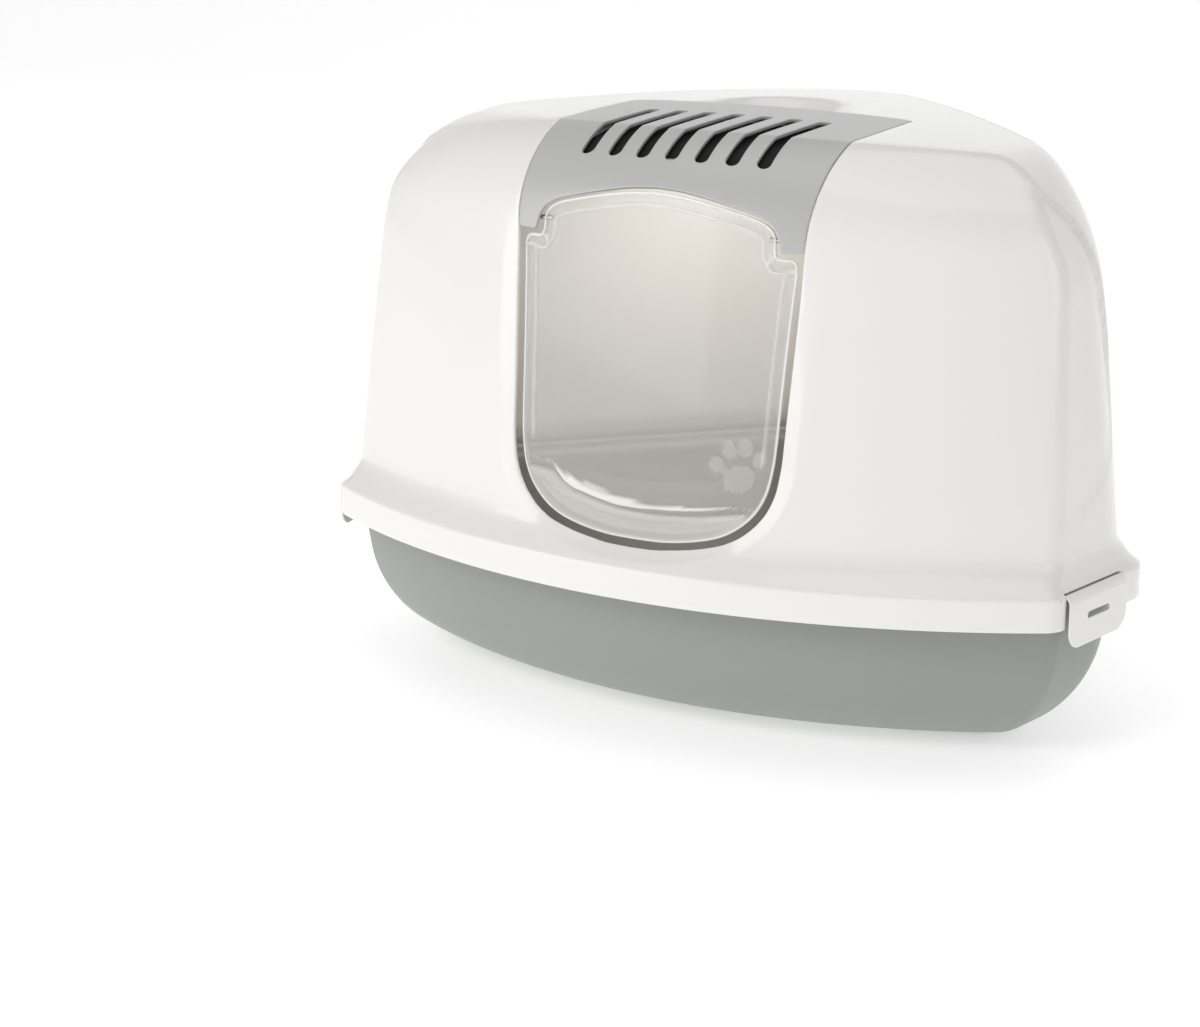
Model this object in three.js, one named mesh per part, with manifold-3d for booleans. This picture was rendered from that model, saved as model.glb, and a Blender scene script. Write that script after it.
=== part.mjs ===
// A hooded litter box for the corner of a room: a tray, a lift-off hood held by two side clips, a vent
// panel hinged over the doorway with a carbon filter under it, and a clear swing door.
// Millimetres, +X right, +Y to the back corner, +Z up. The origin is the middle of the footprint's box,
// on the floor.
import * as THREE from 'three';
import { mergeVertices } from 'three/addons/utils/BufferGeometryUtils.js';
import Module from 'manifold-3d';

const wasm = await Module();
wasm.setup();

// ---------- driving dimensions ----------

// Plan of the skirt band: a bowed front, two short sides and two walls at right angles behind.
const DEPTH = 455;
const FRONT = -DEPTH / 2;
const SIDE_FRONT = new THREE.Vector2(274.3, -150.1);
const SIDE_REAR = new THREE.Vector2(294.4, -47);
const REAR_WALL_ANGLE = THREE.MathUtils.degToRad(135);
const SAGITTA = SIDE_FRONT.y - FRONT;
const FRONT_RADIUS = (SIDE_FRONT.x ** 2 + SAGITTA ** 2) / (2 * SAGITTA);
const FRONT_CENTRE_Y = FRONT + FRONT_RADIUS;
const SIDE_ANGLE = Math.atan2(SIDE_REAR.y - SIDE_FRONT.y, SIDE_REAR.x - SIDE_FRONT.x);
const BACK_POINT = SIDE_REAR.y + SIDE_REAR.x;
const BAND_RADII = { front: 18, side: 25, back: (BACK_POINT - DEPTH / 2) / (Math.SQRT2 - 1) };

// Heights.
const TRAY_FLOOR_UNDER = 3;
const TRAY_CURVE_TOP = 70.7;
const BAND_BOTTOM = 99.4;
const LIP_UNDER = 114;
const LIP_TOP = 117;
const BAND_TOP = 122.2;
const WALL_START = 137;
const SHOULDER_TOP = 390.5;

// Walls and gaps.
const WALL = 3;
const LIP_INSET = 3.8;
const BAND_WALL = 3.2;
const TOUCH_GAP = 0.3;
const PANEL_GAP = 0.6;

// How far each side of the hood leans in, and the curve of its shoulder.
const HOOD_SIDES = {
  front: { base: 16.5, lean: 0.127, shoulder: 335, end: 393, reach: 70, power: 2 },
  side: { base: 10, lean: 0.071, shoulder: 297, end: 391, reach: 72, power: 2.4 },
  rear: { base: 10, lean: 0.095, shoulder: 265, end: 391, reach: 21, power: 1.6 },
};
const HOOD_RADII = { front: 41, side: 58, back: 60 };
const HOOD_RADII_LOSS = { front: 0.62, side: 0.62, back: 0.25 };
const CROWN_CENTRE_Y = 28;
const CROWN_SHARES = [0.88, 0.64, 0.38, 0.14];

// The dome that the crown lies on: its top, its middle, its fall per square millimetre from there, and
// the height from which the walls bend to it.
const DOME = { top: 395.3, y: -40, fall: 0.00023, from: 300 };
const HOOD_HEIGHTS = [
  WALL_START, 225, 290, 317, 335, 350, 363, 374, 382, 387, 389.6, SHOULDER_TOP,
];

// The same for the tray, which narrows downwards.
const TRAY_SIDES = {
  front: { base: 19.4, reach: 57 },
  side: { base: 10.4, reach: 58 },
  rear: { base: 16.6, reach: 50 },
};
const TRAY_LEAN = 0.15;
const TRAY_RADII = { front: 15, side: 42, back: 70 };
const TRAY_RADII_LOSS = 0.7;

// How far in Y the tools that cut the front face reach, and a height over everything.
const FACE_REACH = [-260, -120];
const ABOVE_ALL = 420;

// Doorway and the seat of the vent panel above it.
const FACE_LEAN = 0.119;
const PANEL_SEAT = { front: 106.5, frontY: -175, rear: 107, rearY: -13.5, splitZ: 345 };
const PANEL_REAR_Y = -16.1;
const PANEL_BOTTOM = 328;

// Right halves of outlines in X and Z, from the middle of the bottom: the doorway, the door, and the
// arch that the panel is cut away to over the door.
const DOORWAY = [
  [0, 131], [16.7, 131.3], [28, 132.5], [45.4, 135], [63, 139.4], [75.3, 145.4], [84.8, 153.4],
  [91.2, 161.7], [95, 169.5], [97.5, 177.5], [99, 187.6], [100, 198], [102, 246], [104, 292],
  [105, 325],
];
const DOOR_OUTLINE = [
  [0, 134.6], [20, 135], [38, 137.2], [55, 141], [68, 146.6], [79, 155.2], [86.6, 165], [91.2, 176],
  [93.8, 190], [96.6, 245], [99.4, 300], [100.4, 314], [100.2, 319], [98.2, 322.6], [94.5, 323.7],
  [89.5, 323.7], [86.6, 325], [85.4, 328.5], [85.2, 333], [84.6, 337.5], [82, 341.6], [76, 345.6],
  [64, 349.4], [40, 354.6], [20, 358], [0, 359.4],
];
const ARCH = [
  [89.5, 328], [89.5, 336], [88.6, 340], [85.6, 343.4], [80.5, 347.8], [74, 350.8], [58, 355],
  [38, 359], [18, 362.6], [0, 364],
];

// Slots of the vent panel.
const SLOT_COUNT = 7;
const SLOT_PITCH = 21.5;
const SLOT_WIDTH = 9.6;
const SLOT_BACK = -60;
const SLOT_FRONT = -160;
const FRONT_BOW = 2 * (FRONT_RADIUS - 40);

// Panel hinge.
const PANEL_AXIS = { y: -18.5, z: 390.3 };
const PANEL_BEAD = { radius: 2.4, half: 105.8 };
const PANEL_PIN = { radius: 1.2, inner: 97.4, outer: 114.4 };
const PANEL_BOSS_END = 116.4;

// Door and its pins.
const DOOR = { thickness: 2.4, faceX: 100, faceY: -187, faceZ: 200, radius: FRONT_RADIUS - 30 };
const DOOR_SPREAD = 0.24;
const DOOR_AXIS = { y: -172.2, z: 334.8 };
const DOOR_PIN = { radius: 1.6, inner: 80, outer: 94 };
const DOOR_BOSS = { radius: 3, inner: 77, outer: 85.2 };
const PANEL_EAR = { radius: 3.3, inner: 89.7, outer: 95.5 };

// Filter and its holder.
const FILTER = { half: 75, front: -145, rear: -56, under: 369, top: 375 };
const HOLDER = { wall: 2, gap: 0.4, under: 365, top: 388 };

// Grip recess behind the panel.
const GRIP = { y: -12, halfX: 56, halfY: 68, floor: 385 };

// Side clips.
const CLIP = { half: 34, along: 43, bottom: 86, top: 121.4, inner: 1, outer: 3.6, corner: 12 };
const CLIP_AXIS = { out: -1.5, z: 119.5 };
const CLIP_BARREL_RADIUS = 2.4;
const CLIP_PIN = { radius: 1.1, half: 40 };
const CLIP_NOTCH = { half: 35, inner: -4.4, top: 123.4 };
const CLIP_SLOT = { half: 13, z: 105, height: 4 };
const CLIP_BEAD = { bottom: 108, top: 112, reach: -3.4, half: 22 };

// Foot pads: where the middle of each stands, and the way it lies.
const PAD = { length: 62, width: 13, height: 5 };
const PADS = [
  [0, -128, 0],
  [176, -92, 22],
  [-176, -92, -22],
  [86, 28, 135],
  [-86, 28, -135],
  [0, 86, 0],
];

const COLOURS = {
  white: { color: 0xf3f2ee, roughness: 0.22, metalness: 0 },
  grey: { color: 0x9c9f99, roughness: 0.5, metalness: 0 },
  silver: { color: 0xb9bbbc, roughness: 0.4, metalness: 0 },
  clear: { color: 0xd8d3c8, roughness: 0.1, metalness: 0 },
  carbon: { color: 0x151515, roughness: 0.95, metalness: 0 },
  steel: { color: 0xb5b5b5, roughness: 0.3, metalness: 1 },
  rubber: { color: 0x4a4e50, roughness: 0.8, metalness: 0 },
};

// ---------- solids ----------

// A closed three.js geometry as a solid that can be cut and joined.
function solid(geometry) {
  const bare = geometry.index ? geometry.toNonIndexed() : geometry.clone();
  bare.deleteAttribute('normal');
  bare.deleteAttribute('uv');
  const merged = mergeVertices(bare, 1e-4);
  const vertProperties = new Float32Array(merged.attributes.position.array);
  const triVerts = new Uint32Array(merged.index.array);
  return new wasm.Manifold(new wasm.Mesh({ numProp: 3, vertProperties, triVerts }));
}

function geometryOf(body) {
  const mesh = body.getMesh();
  const geometry = new THREE.BufferGeometry();
  geometry.setAttribute('position', new THREE.BufferAttribute(mesh.vertProperties, 3));
  geometry.setIndex(new THREE.BufferAttribute(mesh.triVerts, 1));
  return geometry;
}

// A stack of rings with the same number of points, closed by a fan at each end.
function stack(rings) {
  const points = rings[0].length;
  const positions = rings.flat().flatMap((p) => [p.x, p.y, p.z]);
  const index = [];
  for (let k = 0; k + 1 < rings.length; k += 1) {
    for (let i = 0; i < points; i += 1) {
      const j = (i + 1) % points;
      const a = k * points;
      const b = a + points;
      index.push(a + i, a + j, b + j, a + i, b + j, b + i);
    }
  }
  const ends = [[0, true], [rings.length - 1, false]];
  for (const [k, down] of ends) {
    const middle = new THREE.Vector3();
    rings[k].forEach((p) => middle.addScaledVector(p, 1 / points));
    const centre = positions.length / 3;
    positions.push(middle.x, middle.y, middle.z);
    for (let i = 0; i < points; i += 1) {
      const here = k * points + i;
      const next = k * points + ((i + 1) % points);
      index.push(centre, down ? next : here, down ? here : next);
    }
  }
  const geometry = new THREE.BufferGeometry();
  geometry.setAttribute('position', new THREE.Float32BufferAttribute(positions, 3));
  geometry.setIndex(index);
  return solid(geometry);
}

// An outline in X and Z, extruded along Y.
function alongY(shape, from, to, curveSegments = 12) {
  const geometry = new THREE.ExtrudeGeometry(shape, {
    depth: to - from, bevelEnabled: false, curveSegments,
  });
  geometry.rotateX(Math.PI / 2);
  geometry.translate(0, to, 0);
  return solid(geometry);
}

// An outline in X and Y, extruded along Z.
function alongZ(shape, from, to, curveSegments = 12) {
  const geometry = new THREE.ExtrudeGeometry(shape, {
    depth: to - from, bevelEnabled: false, curveSegments,
  });
  geometry.translate(0, 0, from);
  return solid(geometry);
}

// Two places on one side of the middle, from the lower to the higher.
const span = (side, inner, outer) => [side * inner, side * outer].sort((a, b) => a - b);

// A round bar along X.
function barX(radius, from, to, y, z, sides = 20) {
  const geometry = new THREE.CylinderGeometry(radius, radius, to - from, sides);
  geometry.rotateZ(Math.PI / 2);
  geometry.translate((from + to) / 2, y, z);
  return solid(geometry);
}

function box(low, high) {
  const size = high.map((v, i) => v - low[i]);
  const geometry = new THREE.BoxGeometry(...size);
  geometry.translate(...low.map((v, i) => v + size[i] / 2));
  return solid(geometry);
}

// ---------- the plan outline ----------

const direction = (angle) => new THREE.Vector2(Math.cos(angle), Math.sin(angle));

// A point moved inwards from a wall that runs at an angle.
function inwards(point, angle, distance) {
  return point.clone().addScaledVector(direction(angle + Math.PI / 2), distance);
}

// Where two lines cross: a point and an angle each.
function crossing(p, pAngle, q, qAngle) {
  const u = direction(pAngle);
  const v = direction(qAngle);
  const w = q.clone().sub(p);
  const along = (w.x * v.y - w.y * v.x) / (u.x * v.y - u.y * v.x);
  return p.clone().addScaledVector(u, along);
}

function arcPoints(centre, radius, from, to, steps) {
  const points = [];
  for (let i = 0; i <= steps; i += 1) {
    points.push(centre.clone().addScaledVector(direction(from + ((to - from) * i) / steps), radius));
  }
  return points;
}

// The plan at one height: each side moved inwards by its own inset, and rounded corners.
function outline(inset, radii, z) {
  const arcRadius = FRONT_RADIUS - inset.front - radii.front;
  const start = inwards(SIDE_FRONT, SIDE_ANGLE, inset.side + radii.front);
  const offset = start.clone().sub(new THREE.Vector2(0, FRONT_CENTRE_Y));
  const run = direction(SIDE_ANGLE);
  const half = offset.dot(run);
  const reach = -half - Math.sqrt(half ** 2 - offset.lengthSq() + arcRadius ** 2);
  const frontCentre = start.clone().addScaledVector(run, reach);
  const sideCentre = crossing(
    inwards(SIDE_FRONT, SIDE_ANGLE, inset.side + radii.side), SIDE_ANGLE,
    inwards(SIDE_REAR, REAR_WALL_ANGLE, inset.rear + radii.side), REAR_WALL_ANGLE,
  );
  const backCentre = crossing(
    inwards(SIDE_REAR, REAR_WALL_ANGLE, inset.rear + radii.back), REAR_WALL_ANGLE,
    new THREE.Vector2(0, 0), Math.PI / 2,
  );
  const meet = Math.atan2(frontCentre.y - FRONT_CENTRE_Y, frontCentre.x);
  const bow = new THREE.Vector2(0, FRONT_CENTRE_Y);
  const right = [
    ...arcPoints(bow, FRONT_RADIUS - inset.front, -Math.PI / 2, meet, 9),
    ...arcPoints(frontCentre, radii.front, meet, SIDE_ANGLE - Math.PI / 2, 4).slice(1),
    ...arcPoints(sideCentre, radii.side, SIDE_ANGLE - Math.PI / 2, REAR_WALL_ANGLE - Math.PI / 2, 5),
    ...arcPoints(backCentre, radii.back, REAR_WALL_ANGLE - Math.PI / 2, Math.PI / 2, 5),
  ];
  const left = right.slice(1, -1).reverse().map((p) => new THREE.Vector2(-p.x, p.y));
  return [...right, ...left].map((p) => new THREE.Vector3(p.x, p.y, z));
}

const even = (inset) => ({ front: inset, side: inset, rear: inset });

// ---------- the hood's surface ----------

// How far round the shoulder a height is, from 0 on the wall to 1 at its top.
function shoulderTurn(side, z) {
  const t = THREE.MathUtils.clamp((z - side.shoulder) / (side.end - side.shoulder), 0, 1);
  return 1 - Math.sqrt(1 - t ** side.power);
}

function hoodInset(z, extra) {
  const inset = {};
  for (const [name, side] of Object.entries(HOOD_SIDES)) {
    inset[name] = side.base + side.lean * (z - WALL_START) + side.reach * shoulderTurn(side, z) + extra;
  }
  return inset;
}

function hoodRadii(z) {
  const turn = shoulderTurn(HOOD_SIDES.side, z);
  const radii = {};
  for (const [name, radius] of Object.entries(HOOD_RADII)) {
    radii[name] = radius * (1 - HOOD_RADII_LOSS[name] * turn);
  }
  return radii;
}

// A point of the shoulder or the crown, moved up or down to the dome: in full at the level of the
// shoulder's top, and less below it.
function domed(p, level) {
  const share = THREE.MathUtils.smoothstep(level, DOME.from, SHOULDER_TOP);
  const height = DOME.top - DOME.fall * (p.x ** 2 + (p.y - DOME.y) ** 2);
  return new THREE.Vector3(p.x, p.y, p.z + share * (height - SHOULDER_TOP));
}

// Rings of the hood's wall, shoulder and crown. drop lowers the shoulder for an inner surface.
function hoodRings(from, extra, drop) {
  const rings = [];
  for (const height of HOOD_HEIGHTS) {
    const z = Math.max(from, height);
    const turn = shoulderTurn(HOOD_SIDES.side, z);
    const ring = outline(hoodInset(z, extra), hoodRadii(z), z - drop * turn);
    rings.push(ring.map((p) => domed(p, z)));
  }
  const rim = outline(hoodInset(SHOULDER_TOP, extra), hoodRadii(SHOULDER_TOP), SHOULDER_TOP - drop);
  const centre = new THREE.Vector3(0, CROWN_CENTRE_Y, SHOULDER_TOP - drop);
  for (const scale of CROWN_SHARES) {
    const ring = rim.map((p) => p.clone().sub(centre).multiplyScalar(scale).add(centre));
    rings.push(ring.map((p) => domed(p, SHOULDER_TOP)));
  }
  return rings;
}

function hoodOuter() {
  const skirt = [
    [BAND_BOTTOM, 0.8], [BAND_BOTTOM + 1.2, 0], [BAND_TOP - 1.4, 0.2], [BAND_TOP, 1.6], [125.6, 5.4],
  ].map(([z, inset]) => outline(even(inset), BAND_RADII, z));
  const flange = outline({ front: 13.4, side: 8.4, rear: 8.4 }, { front: 24, side: 32, back: 52 }, 132.6);
  return stack([...skirt, flange, ...hoodRings(WALL_START, 0, 0)]);
}

function hoodInner() {
  const ledge = LIP_TOP + TOUCH_GAP;
  const skirt = [
    outline(even(BAND_WALL), BAND_RADII, BAND_BOTTOM - 1),
    outline(even(BAND_WALL), BAND_RADII, ledge),
    outline({ front: 12, side: 8.6, rear: 8.6 }, { front: 20, side: 28, back: 50 }, ledge + 0.01),
  ];
  return stack([...skirt, ...hoodRings(WALL_START + 1, WALL, WALL)]);
}

// ---------- doorway, arch and slots ----------

// An outline that is the same on both sides of x = 0: a smooth line through the points of its right
// half, drawn in by a gap, and closed by straight lines through the corners given.
function symmetric(points, corners, gap, divisions) {
  const curve = new THREE.SplineCurve(points.map(([x, z]) => new THREE.Vector2(x, z)));
  const smooth = curve.getPoints(divisions);
  const right = [...smooth, ...corners.map(([x, z]) => new THREE.Vector2(x, z))]
    .map((p) => new THREE.Vector2(Math.max(0, p.x - gap), p.y));
  const left = right.filter((p) => p.x > 0).reverse().map((p) => new THREE.Vector2(-p.x, p.y));
  return new THREE.Shape([...right, ...left]);
}

// The whole opening in the hood: the doorway and the seat of the vent panel over it.
function openingTool(gap, rearY) {
  const closing = [[PANEL_SEAT.front, PANEL_SEAT.splitZ], [0, PANEL_SEAT.splitZ]];
  const front = alongY(symmetric(DOORWAY, closing, gap, 44), ...FACE_REACH);
  const seat = new THREE.Shape();
  seat.moveTo(-PANEL_SEAT.front + gap, FRONT);
  seat.lineTo(PANEL_SEAT.front - gap, FRONT);
  seat.lineTo(PANEL_SEAT.front - gap, PANEL_SEAT.frontY);
  seat.lineTo(PANEL_SEAT.rear - gap, rearY);
  seat.lineTo(-PANEL_SEAT.rear + gap, rearY);
  seat.lineTo(-PANEL_SEAT.front + gap, PANEL_SEAT.frontY);
  return front.add(alongZ(seat, PANEL_SEAT.splitZ - 0.5, ABOVE_ALL));
}

function slotShape(x) {
  const shape = new THREE.Shape();
  const r = SLOT_WIDTH / 2;
  const front = SLOT_FRONT + x ** 2 / FRONT_BOW;
  shape.absarc(x, SLOT_BACK - r, r, 0, Math.PI);
  shape.absarc(x, front + r, r, Math.PI, 2 * Math.PI);
  return shape;
}

// ---------- pieces ----------

const outer = hoodOuter();
const inner = hoodInner();

// A frame on one side face of the band: X along the face, Y outwards, Z up.
function sideFrame(side) {
  const run = direction(SIDE_ANGLE);
  const x = SIDE_FRONT.x + run.x * CLIP.along;
  const y = SIDE_FRONT.y + run.y * CLIP.along;
  const turn = side > 0 ? SIDE_ANGLE - Math.PI : Math.PI - SIDE_ANGLE;
  return new THREE.Matrix4().makeTranslation(side * x, y, 0)
    .multiply(new THREE.Matrix4().makeRotationZ(turn));
}

function onSide(body, side) {
  const geometry = geometryOf(body);
  geometry.applyMatrix4(sideFrame(side));
  return solid(geometry);
}

function gripLoft(extra, floor) {
  const rings = [];
  const steps = [[402, 1], [394.5, -1], [390, -8], [floor + 1.2, -15], [floor, -22]];
  for (const [z, grow] of steps.reverse()) {
    const ring = [];
    for (let i = 0; i < 28; i += 1) {
      const a = (i * 2 * Math.PI) / 28;
      ring.push(new THREE.Vector3(
        (GRIP.halfX + grow + extra) * Math.cos(a), GRIP.y + (GRIP.halfY + grow + extra) * Math.sin(a), z,
      ));
    }
    rings.push(ring);
  }
  return stack(rings);
}

function hoodShell() {
  let body = outer.subtract(inner);
  body = body.add(gripLoft(WALL - 0.4, GRIP.floor - WALL).intersect(outer));
  body = body.subtract(gripLoft(0, GRIP.floor));
  body = body.subtract(openingTool(0, PANEL_SEAT.rearY));
  const { y, z } = PANEL_AXIS;
  const notch = box(
    [-CLIP_NOTCH.half, CLIP_NOTCH.inner, BAND_BOTTOM - 2], [CLIP_NOTCH.half, 2, CLIP_NOTCH.top],
  );
  const reach = CLIP_PIN.half + TOUCH_GAP;
  const bore = barX(CLIP_PIN.radius + TOUCH_GAP, -reach, reach, CLIP_AXIS.out, CLIP_AXIS.z);
  for (const side of [-1, 1]) {
    const boss = span(side, PANEL_BEAD.half + 1.6, PANEL_BOSS_END - 0.6);
    const hole = span(side, PANEL_PIN.inner, PANEL_PIN.outer + TOUCH_GAP);
    body = body.add(barX(PANEL_BEAD.radius, ...boss, y, z).intersect(outer));
    body = body.subtract(barX(PANEL_PIN.radius + TOUCH_GAP, ...hole, y, z));
    body = body.subtract(onSide(notch, side)).subtract(onSide(bore, side));
  }
  return body;
}

function trayInset(z, extra) {
  const t = THREE.MathUtils.clamp((TRAY_CURVE_TOP - z) / (TRAY_CURVE_TOP - TRAY_FLOOR_UNDER), 0, 1);
  const turn = 1 - Math.sqrt(1 - t ** 2);
  const inset = {};
  for (const [name, side] of Object.entries(TRAY_SIDES)) {
    inset[name] = side.base + TRAY_LEAN * Math.max(0, BAND_BOTTOM - z) + side.reach * turn + extra;
  }
  return inset;
}

function trayRing(z, extra, lift) {
  const t = THREE.MathUtils.clamp((TRAY_CURVE_TOP - z) / (TRAY_CURVE_TOP - TRAY_FLOOR_UNDER), 0, 1);
  const turn = 1 - Math.sqrt(1 - t ** 2);
  const keep = 1 - TRAY_RADII_LOSS * turn;
  const radii = {
    front: TRAY_RADII.front * keep,
    side: TRAY_RADII.side * keep,
    back: TRAY_RADII.back * keep,
  };
  return outline(trayInset(z, extra), radii, z + lift * turn);
}

function tray() {
  const heights = [TRAY_FLOOR_UNDER, 4.2, 8.5, 16, 27, 42, TRAY_CURVE_TOP, BAND_BOTTOM];
  const outside = heights.map((z) => trayRing(z, 0, 0));
  outside.push(trayRing(LIP_UNDER, 0, 0));
  outside.push(outline(even(LIP_INSET), BAND_RADII, LIP_UNDER + 0.01));
  outside.push(outline(even(LIP_INSET), BAND_RADII, LIP_TOP));
  const inside = heights.map((z) => trayRing(z, WALL, WALL));
  inside.push(trayRing(LIP_TOP + 1, WALL, 0));
  let body = stack(outside).subtract(stack(inside));
  for (const pad of PADS) {
    body = body.subtract(padSolid(pad, TOUCH_GAP));
  }
  return body;
}

function padSolid([x, y, angle], gap) {
  const shape = new THREE.Shape();
  const r = PAD.width / 2 + gap;
  const reach = PAD.length / 2 - PAD.width / 2;
  shape.absarc(reach, 0, r, -Math.PI / 2, Math.PI / 2);
  shape.absarc(-reach, 0, r, Math.PI / 2, (3 * Math.PI) / 2);
  const geometry = new THREE.ExtrudeGeometry(shape, {
    depth: PAD.height + gap - 0.6, bevelEnabled: false, curveSegments: 8,
  });
  geometry.rotateZ(THREE.MathUtils.degToRad(angle));
  geometry.translate(x, y, 0);
  return solid(geometry);
}

function ventPanel() {
  const arch = alongY(symmetric(ARCH, [], 0, 30), ...FACE_REACH);
  const below = box([-130, FACE_REACH[0], 90], [130, FACE_REACH[1], PANEL_BOTTOM]);
  let body = outer.intersect(openingTool(PANEL_GAP, PANEL_REAR_Y)).subtract(inner);
  body = body.subtract(arch).subtract(below);
  const bead = barX(PANEL_BEAD.radius, -PANEL_BEAD.half, PANEL_BEAD.half, PANEL_AXIS.y, PANEL_AXIS.z);
  body = body.add(bead.intersect(outer));
  for (let i = 0; i < SLOT_COUNT; i += 1) {
    const x = (i - (SLOT_COUNT - 1) / 2) * SLOT_PITCH;
    body = body.subtract(alongZ(slotShape(x), 350, ABOVE_ALL, 6));
  }
  for (const side of [-1, 1]) {
    const ear = span(side, PANEL_EAR.inner, PANEL_EAR.outer);
    const bore = span(side, PANEL_EAR.inner - 3, DOOR_PIN.outer + TOUCH_GAP);
    const hinge = span(side, PANEL_PIN.inner - TOUCH_GAP, PANEL_BEAD.half + 2);
    body = body.add(barX(PANEL_EAR.radius, ...ear, DOOR_AXIS.y, DOOR_AXIS.z).intersect(outer));
    body = body.subtract(barX(DOOR_PIN.radius + 0.1, ...bore, DOOR_AXIS.y, DOOR_AXIS.z, 32));
    body = body.subtract(barX(PANEL_PIN.radius + 0.1, ...hinge, PANEL_AXIS.y, PANEL_AXIS.z, 32));
  }
  return body;
}

// The door: a bowed slab that leans with the hood's face, cut to its outline, with its pivots' bosses.
function doorFlap() {
  const drop = Math.sqrt(DOOR.radius ** 2 - DOOR.faceX ** 2);
  const bowCentre = new THREE.Vector2(0, DOOR.faceY + drop);
  const low = -Math.PI / 2 - DOOR_SPREAD;
  const high = -Math.PI / 2 + DOOR_SPREAD;
  const band = new THREE.Shape([
    ...arcPoints(bowCentre, DOOR.radius, low, high, 24),
    ...arcPoints(bowCentre, DOOR.radius - DOOR.thickness, high, low, 24),
  ]);
  const slab = new THREE.ExtrudeGeometry(band, { depth: 260, bevelEnabled: false });
  slab.translate(0, 0, 115);
  const position = slab.attributes.position;
  for (let i = 0; i < position.count; i += 1) {
    position.setY(i, position.getY(i) + FACE_LEAN * (position.getZ(i) - DOOR.faceZ));
  }
  let body = solid(slab).intersect(alongY(symmetric(DOOR_OUTLINE, [], 0, 76), ...FACE_REACH));
  for (const side of [-1, 1]) {
    const boss = span(side, DOOR_BOSS.inner, DOOR_BOSS.outer);
    const bore = span(side, DOOR_PIN.inner - TOUCH_GAP, DOOR_BOSS.outer + 2);
    body = body.add(barX(DOOR_BOSS.radius, ...boss, DOOR_AXIS.y, DOOR_AXIS.z));
    body = body.subtract(barX(DOOR_PIN.radius + TOUCH_GAP, ...bore, DOOR_AXIS.y, DOOR_AXIS.z));
  }
  return body;
}

function pinX(pin, side, axis) {
  return barX(pin.radius, ...span(side, pin.inner, pin.outer), axis.y, axis.z);
}

function filterHolder() {
  const grow = HOLDER.gap;
  const hollow = box(
    [-FILTER.half - grow, FILTER.front - grow, HOLDER.under - 1],
    [FILTER.half + grow, FILTER.rear + grow, HOLDER.top + 1],
  );
  const rim = grow + HOLDER.wall;
  const block = box(
    [-FILTER.half - rim, FILTER.front - rim, HOLDER.under],
    [FILTER.half + rim, FILTER.rear + rim, HOLDER.top],
  );
  const room = stack(hoodRings(WALL_START + 1, WALL + TOUCH_GAP, WALL + TOUCH_GAP));
  return block.subtract(hollow).intersect(room);
}

function carbonFilter() {
  return box([-FILTER.half, FILTER.front, FILTER.under], [FILTER.half, FILTER.rear, FILTER.top]);
}

function sideClip() {
  const plate = new THREE.Shape();
  const r = CLIP.corner;
  plate.moveTo(-CLIP.half, CLIP.top);
  plate.lineTo(-CLIP.half, CLIP.bottom + r);
  plate.quadraticCurveTo(-CLIP.half, CLIP.bottom, -CLIP.half + r, CLIP.bottom);
  plate.lineTo(CLIP.half - r, CLIP.bottom);
  plate.quadraticCurveTo(CLIP.half, CLIP.bottom, CLIP.half, CLIP.bottom + r);
  plate.lineTo(CLIP.half, CLIP.top);
  let body = alongY(plate, CLIP.inner, CLIP.outer, 6);
  const { out, z } = CLIP_AXIS;
  const ledge = box([-CLIP.half, out, CLIP.top - 3.4], [CLIP.half, CLIP.inner + 1, CLIP.top]);
  const bead = box(
    [-CLIP_BEAD.half, CLIP_BEAD.reach, CLIP_BEAD.bottom],
    [CLIP_BEAD.half, CLIP.inner + 1, CLIP_BEAD.top],
  );
  body = body.add(ledge).add(bead).add(barX(CLIP_BARREL_RADIUS, -CLIP.half, CLIP.half, out, z));
  const slotHalf = CLIP_SLOT.height / 2;
  body = body.subtract(box(
    [-CLIP_SLOT.half, CLIP_BEAD.reach - 1, CLIP_SLOT.z - slotHalf],
    [CLIP_SLOT.half, CLIP.outer + 1, CLIP_SLOT.z + slotHalf],
  ));
  return body.subtract(barX(CLIP_PIN.radius + 0.1, -CLIP.half - 1, CLIP.half + 1, out, z, 32));
}

function clipPin() {
  return barX(CLIP_PIN.radius, -CLIP_PIN.half, CLIP_PIN.half, CLIP_AXIS.out, CLIP_AXIS.z);
}

// ---------- the assembly ----------

const litterBox = new THREE.Group();

function place(name, body, finish) {
  const mesh = new THREE.Mesh(geometryOf(body), new THREE.MeshStandardMaterial(COLOURS[finish]));
  mesh.name = name;
  litterBox.add(mesh);
}

place('tray', tray(), 'grey');
PADS.forEach((pad, i) => place(`foot_pad_${i + 1}`, padSolid(pad, 0), 'rubber'));
place('hood_shell', hoodShell(), 'white');
place('vent_panel', ventPanel(), 'silver');
place('filter_holder', filterHolder(), 'silver');
place('carbon_filter', carbonFilter(), 'carbon');
place('door_flap', doorFlap(), 'clear');
for (const [word, side] of [['left', -1], ['right', 1]]) {
  place(`panel_pin_${word}`, pinX(PANEL_PIN, side, PANEL_AXIS), 'steel');
  place(`door_pin_${word}`, pinX(DOOR_PIN, side, DOOR_AXIS), 'steel');
  place(`clip_${word}`, onSide(sideClip(), side), 'white');
  place(`clip_pin_${word}`, onSide(clipPin(), side), 'steel');
}

export default litterBox;
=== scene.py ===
"""A hooded litter box for the corner of a room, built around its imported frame.

Every shape is worked out in millimetres in the frame's own axes: +X right, +Y to the back corner, +Z up.
"""

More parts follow.
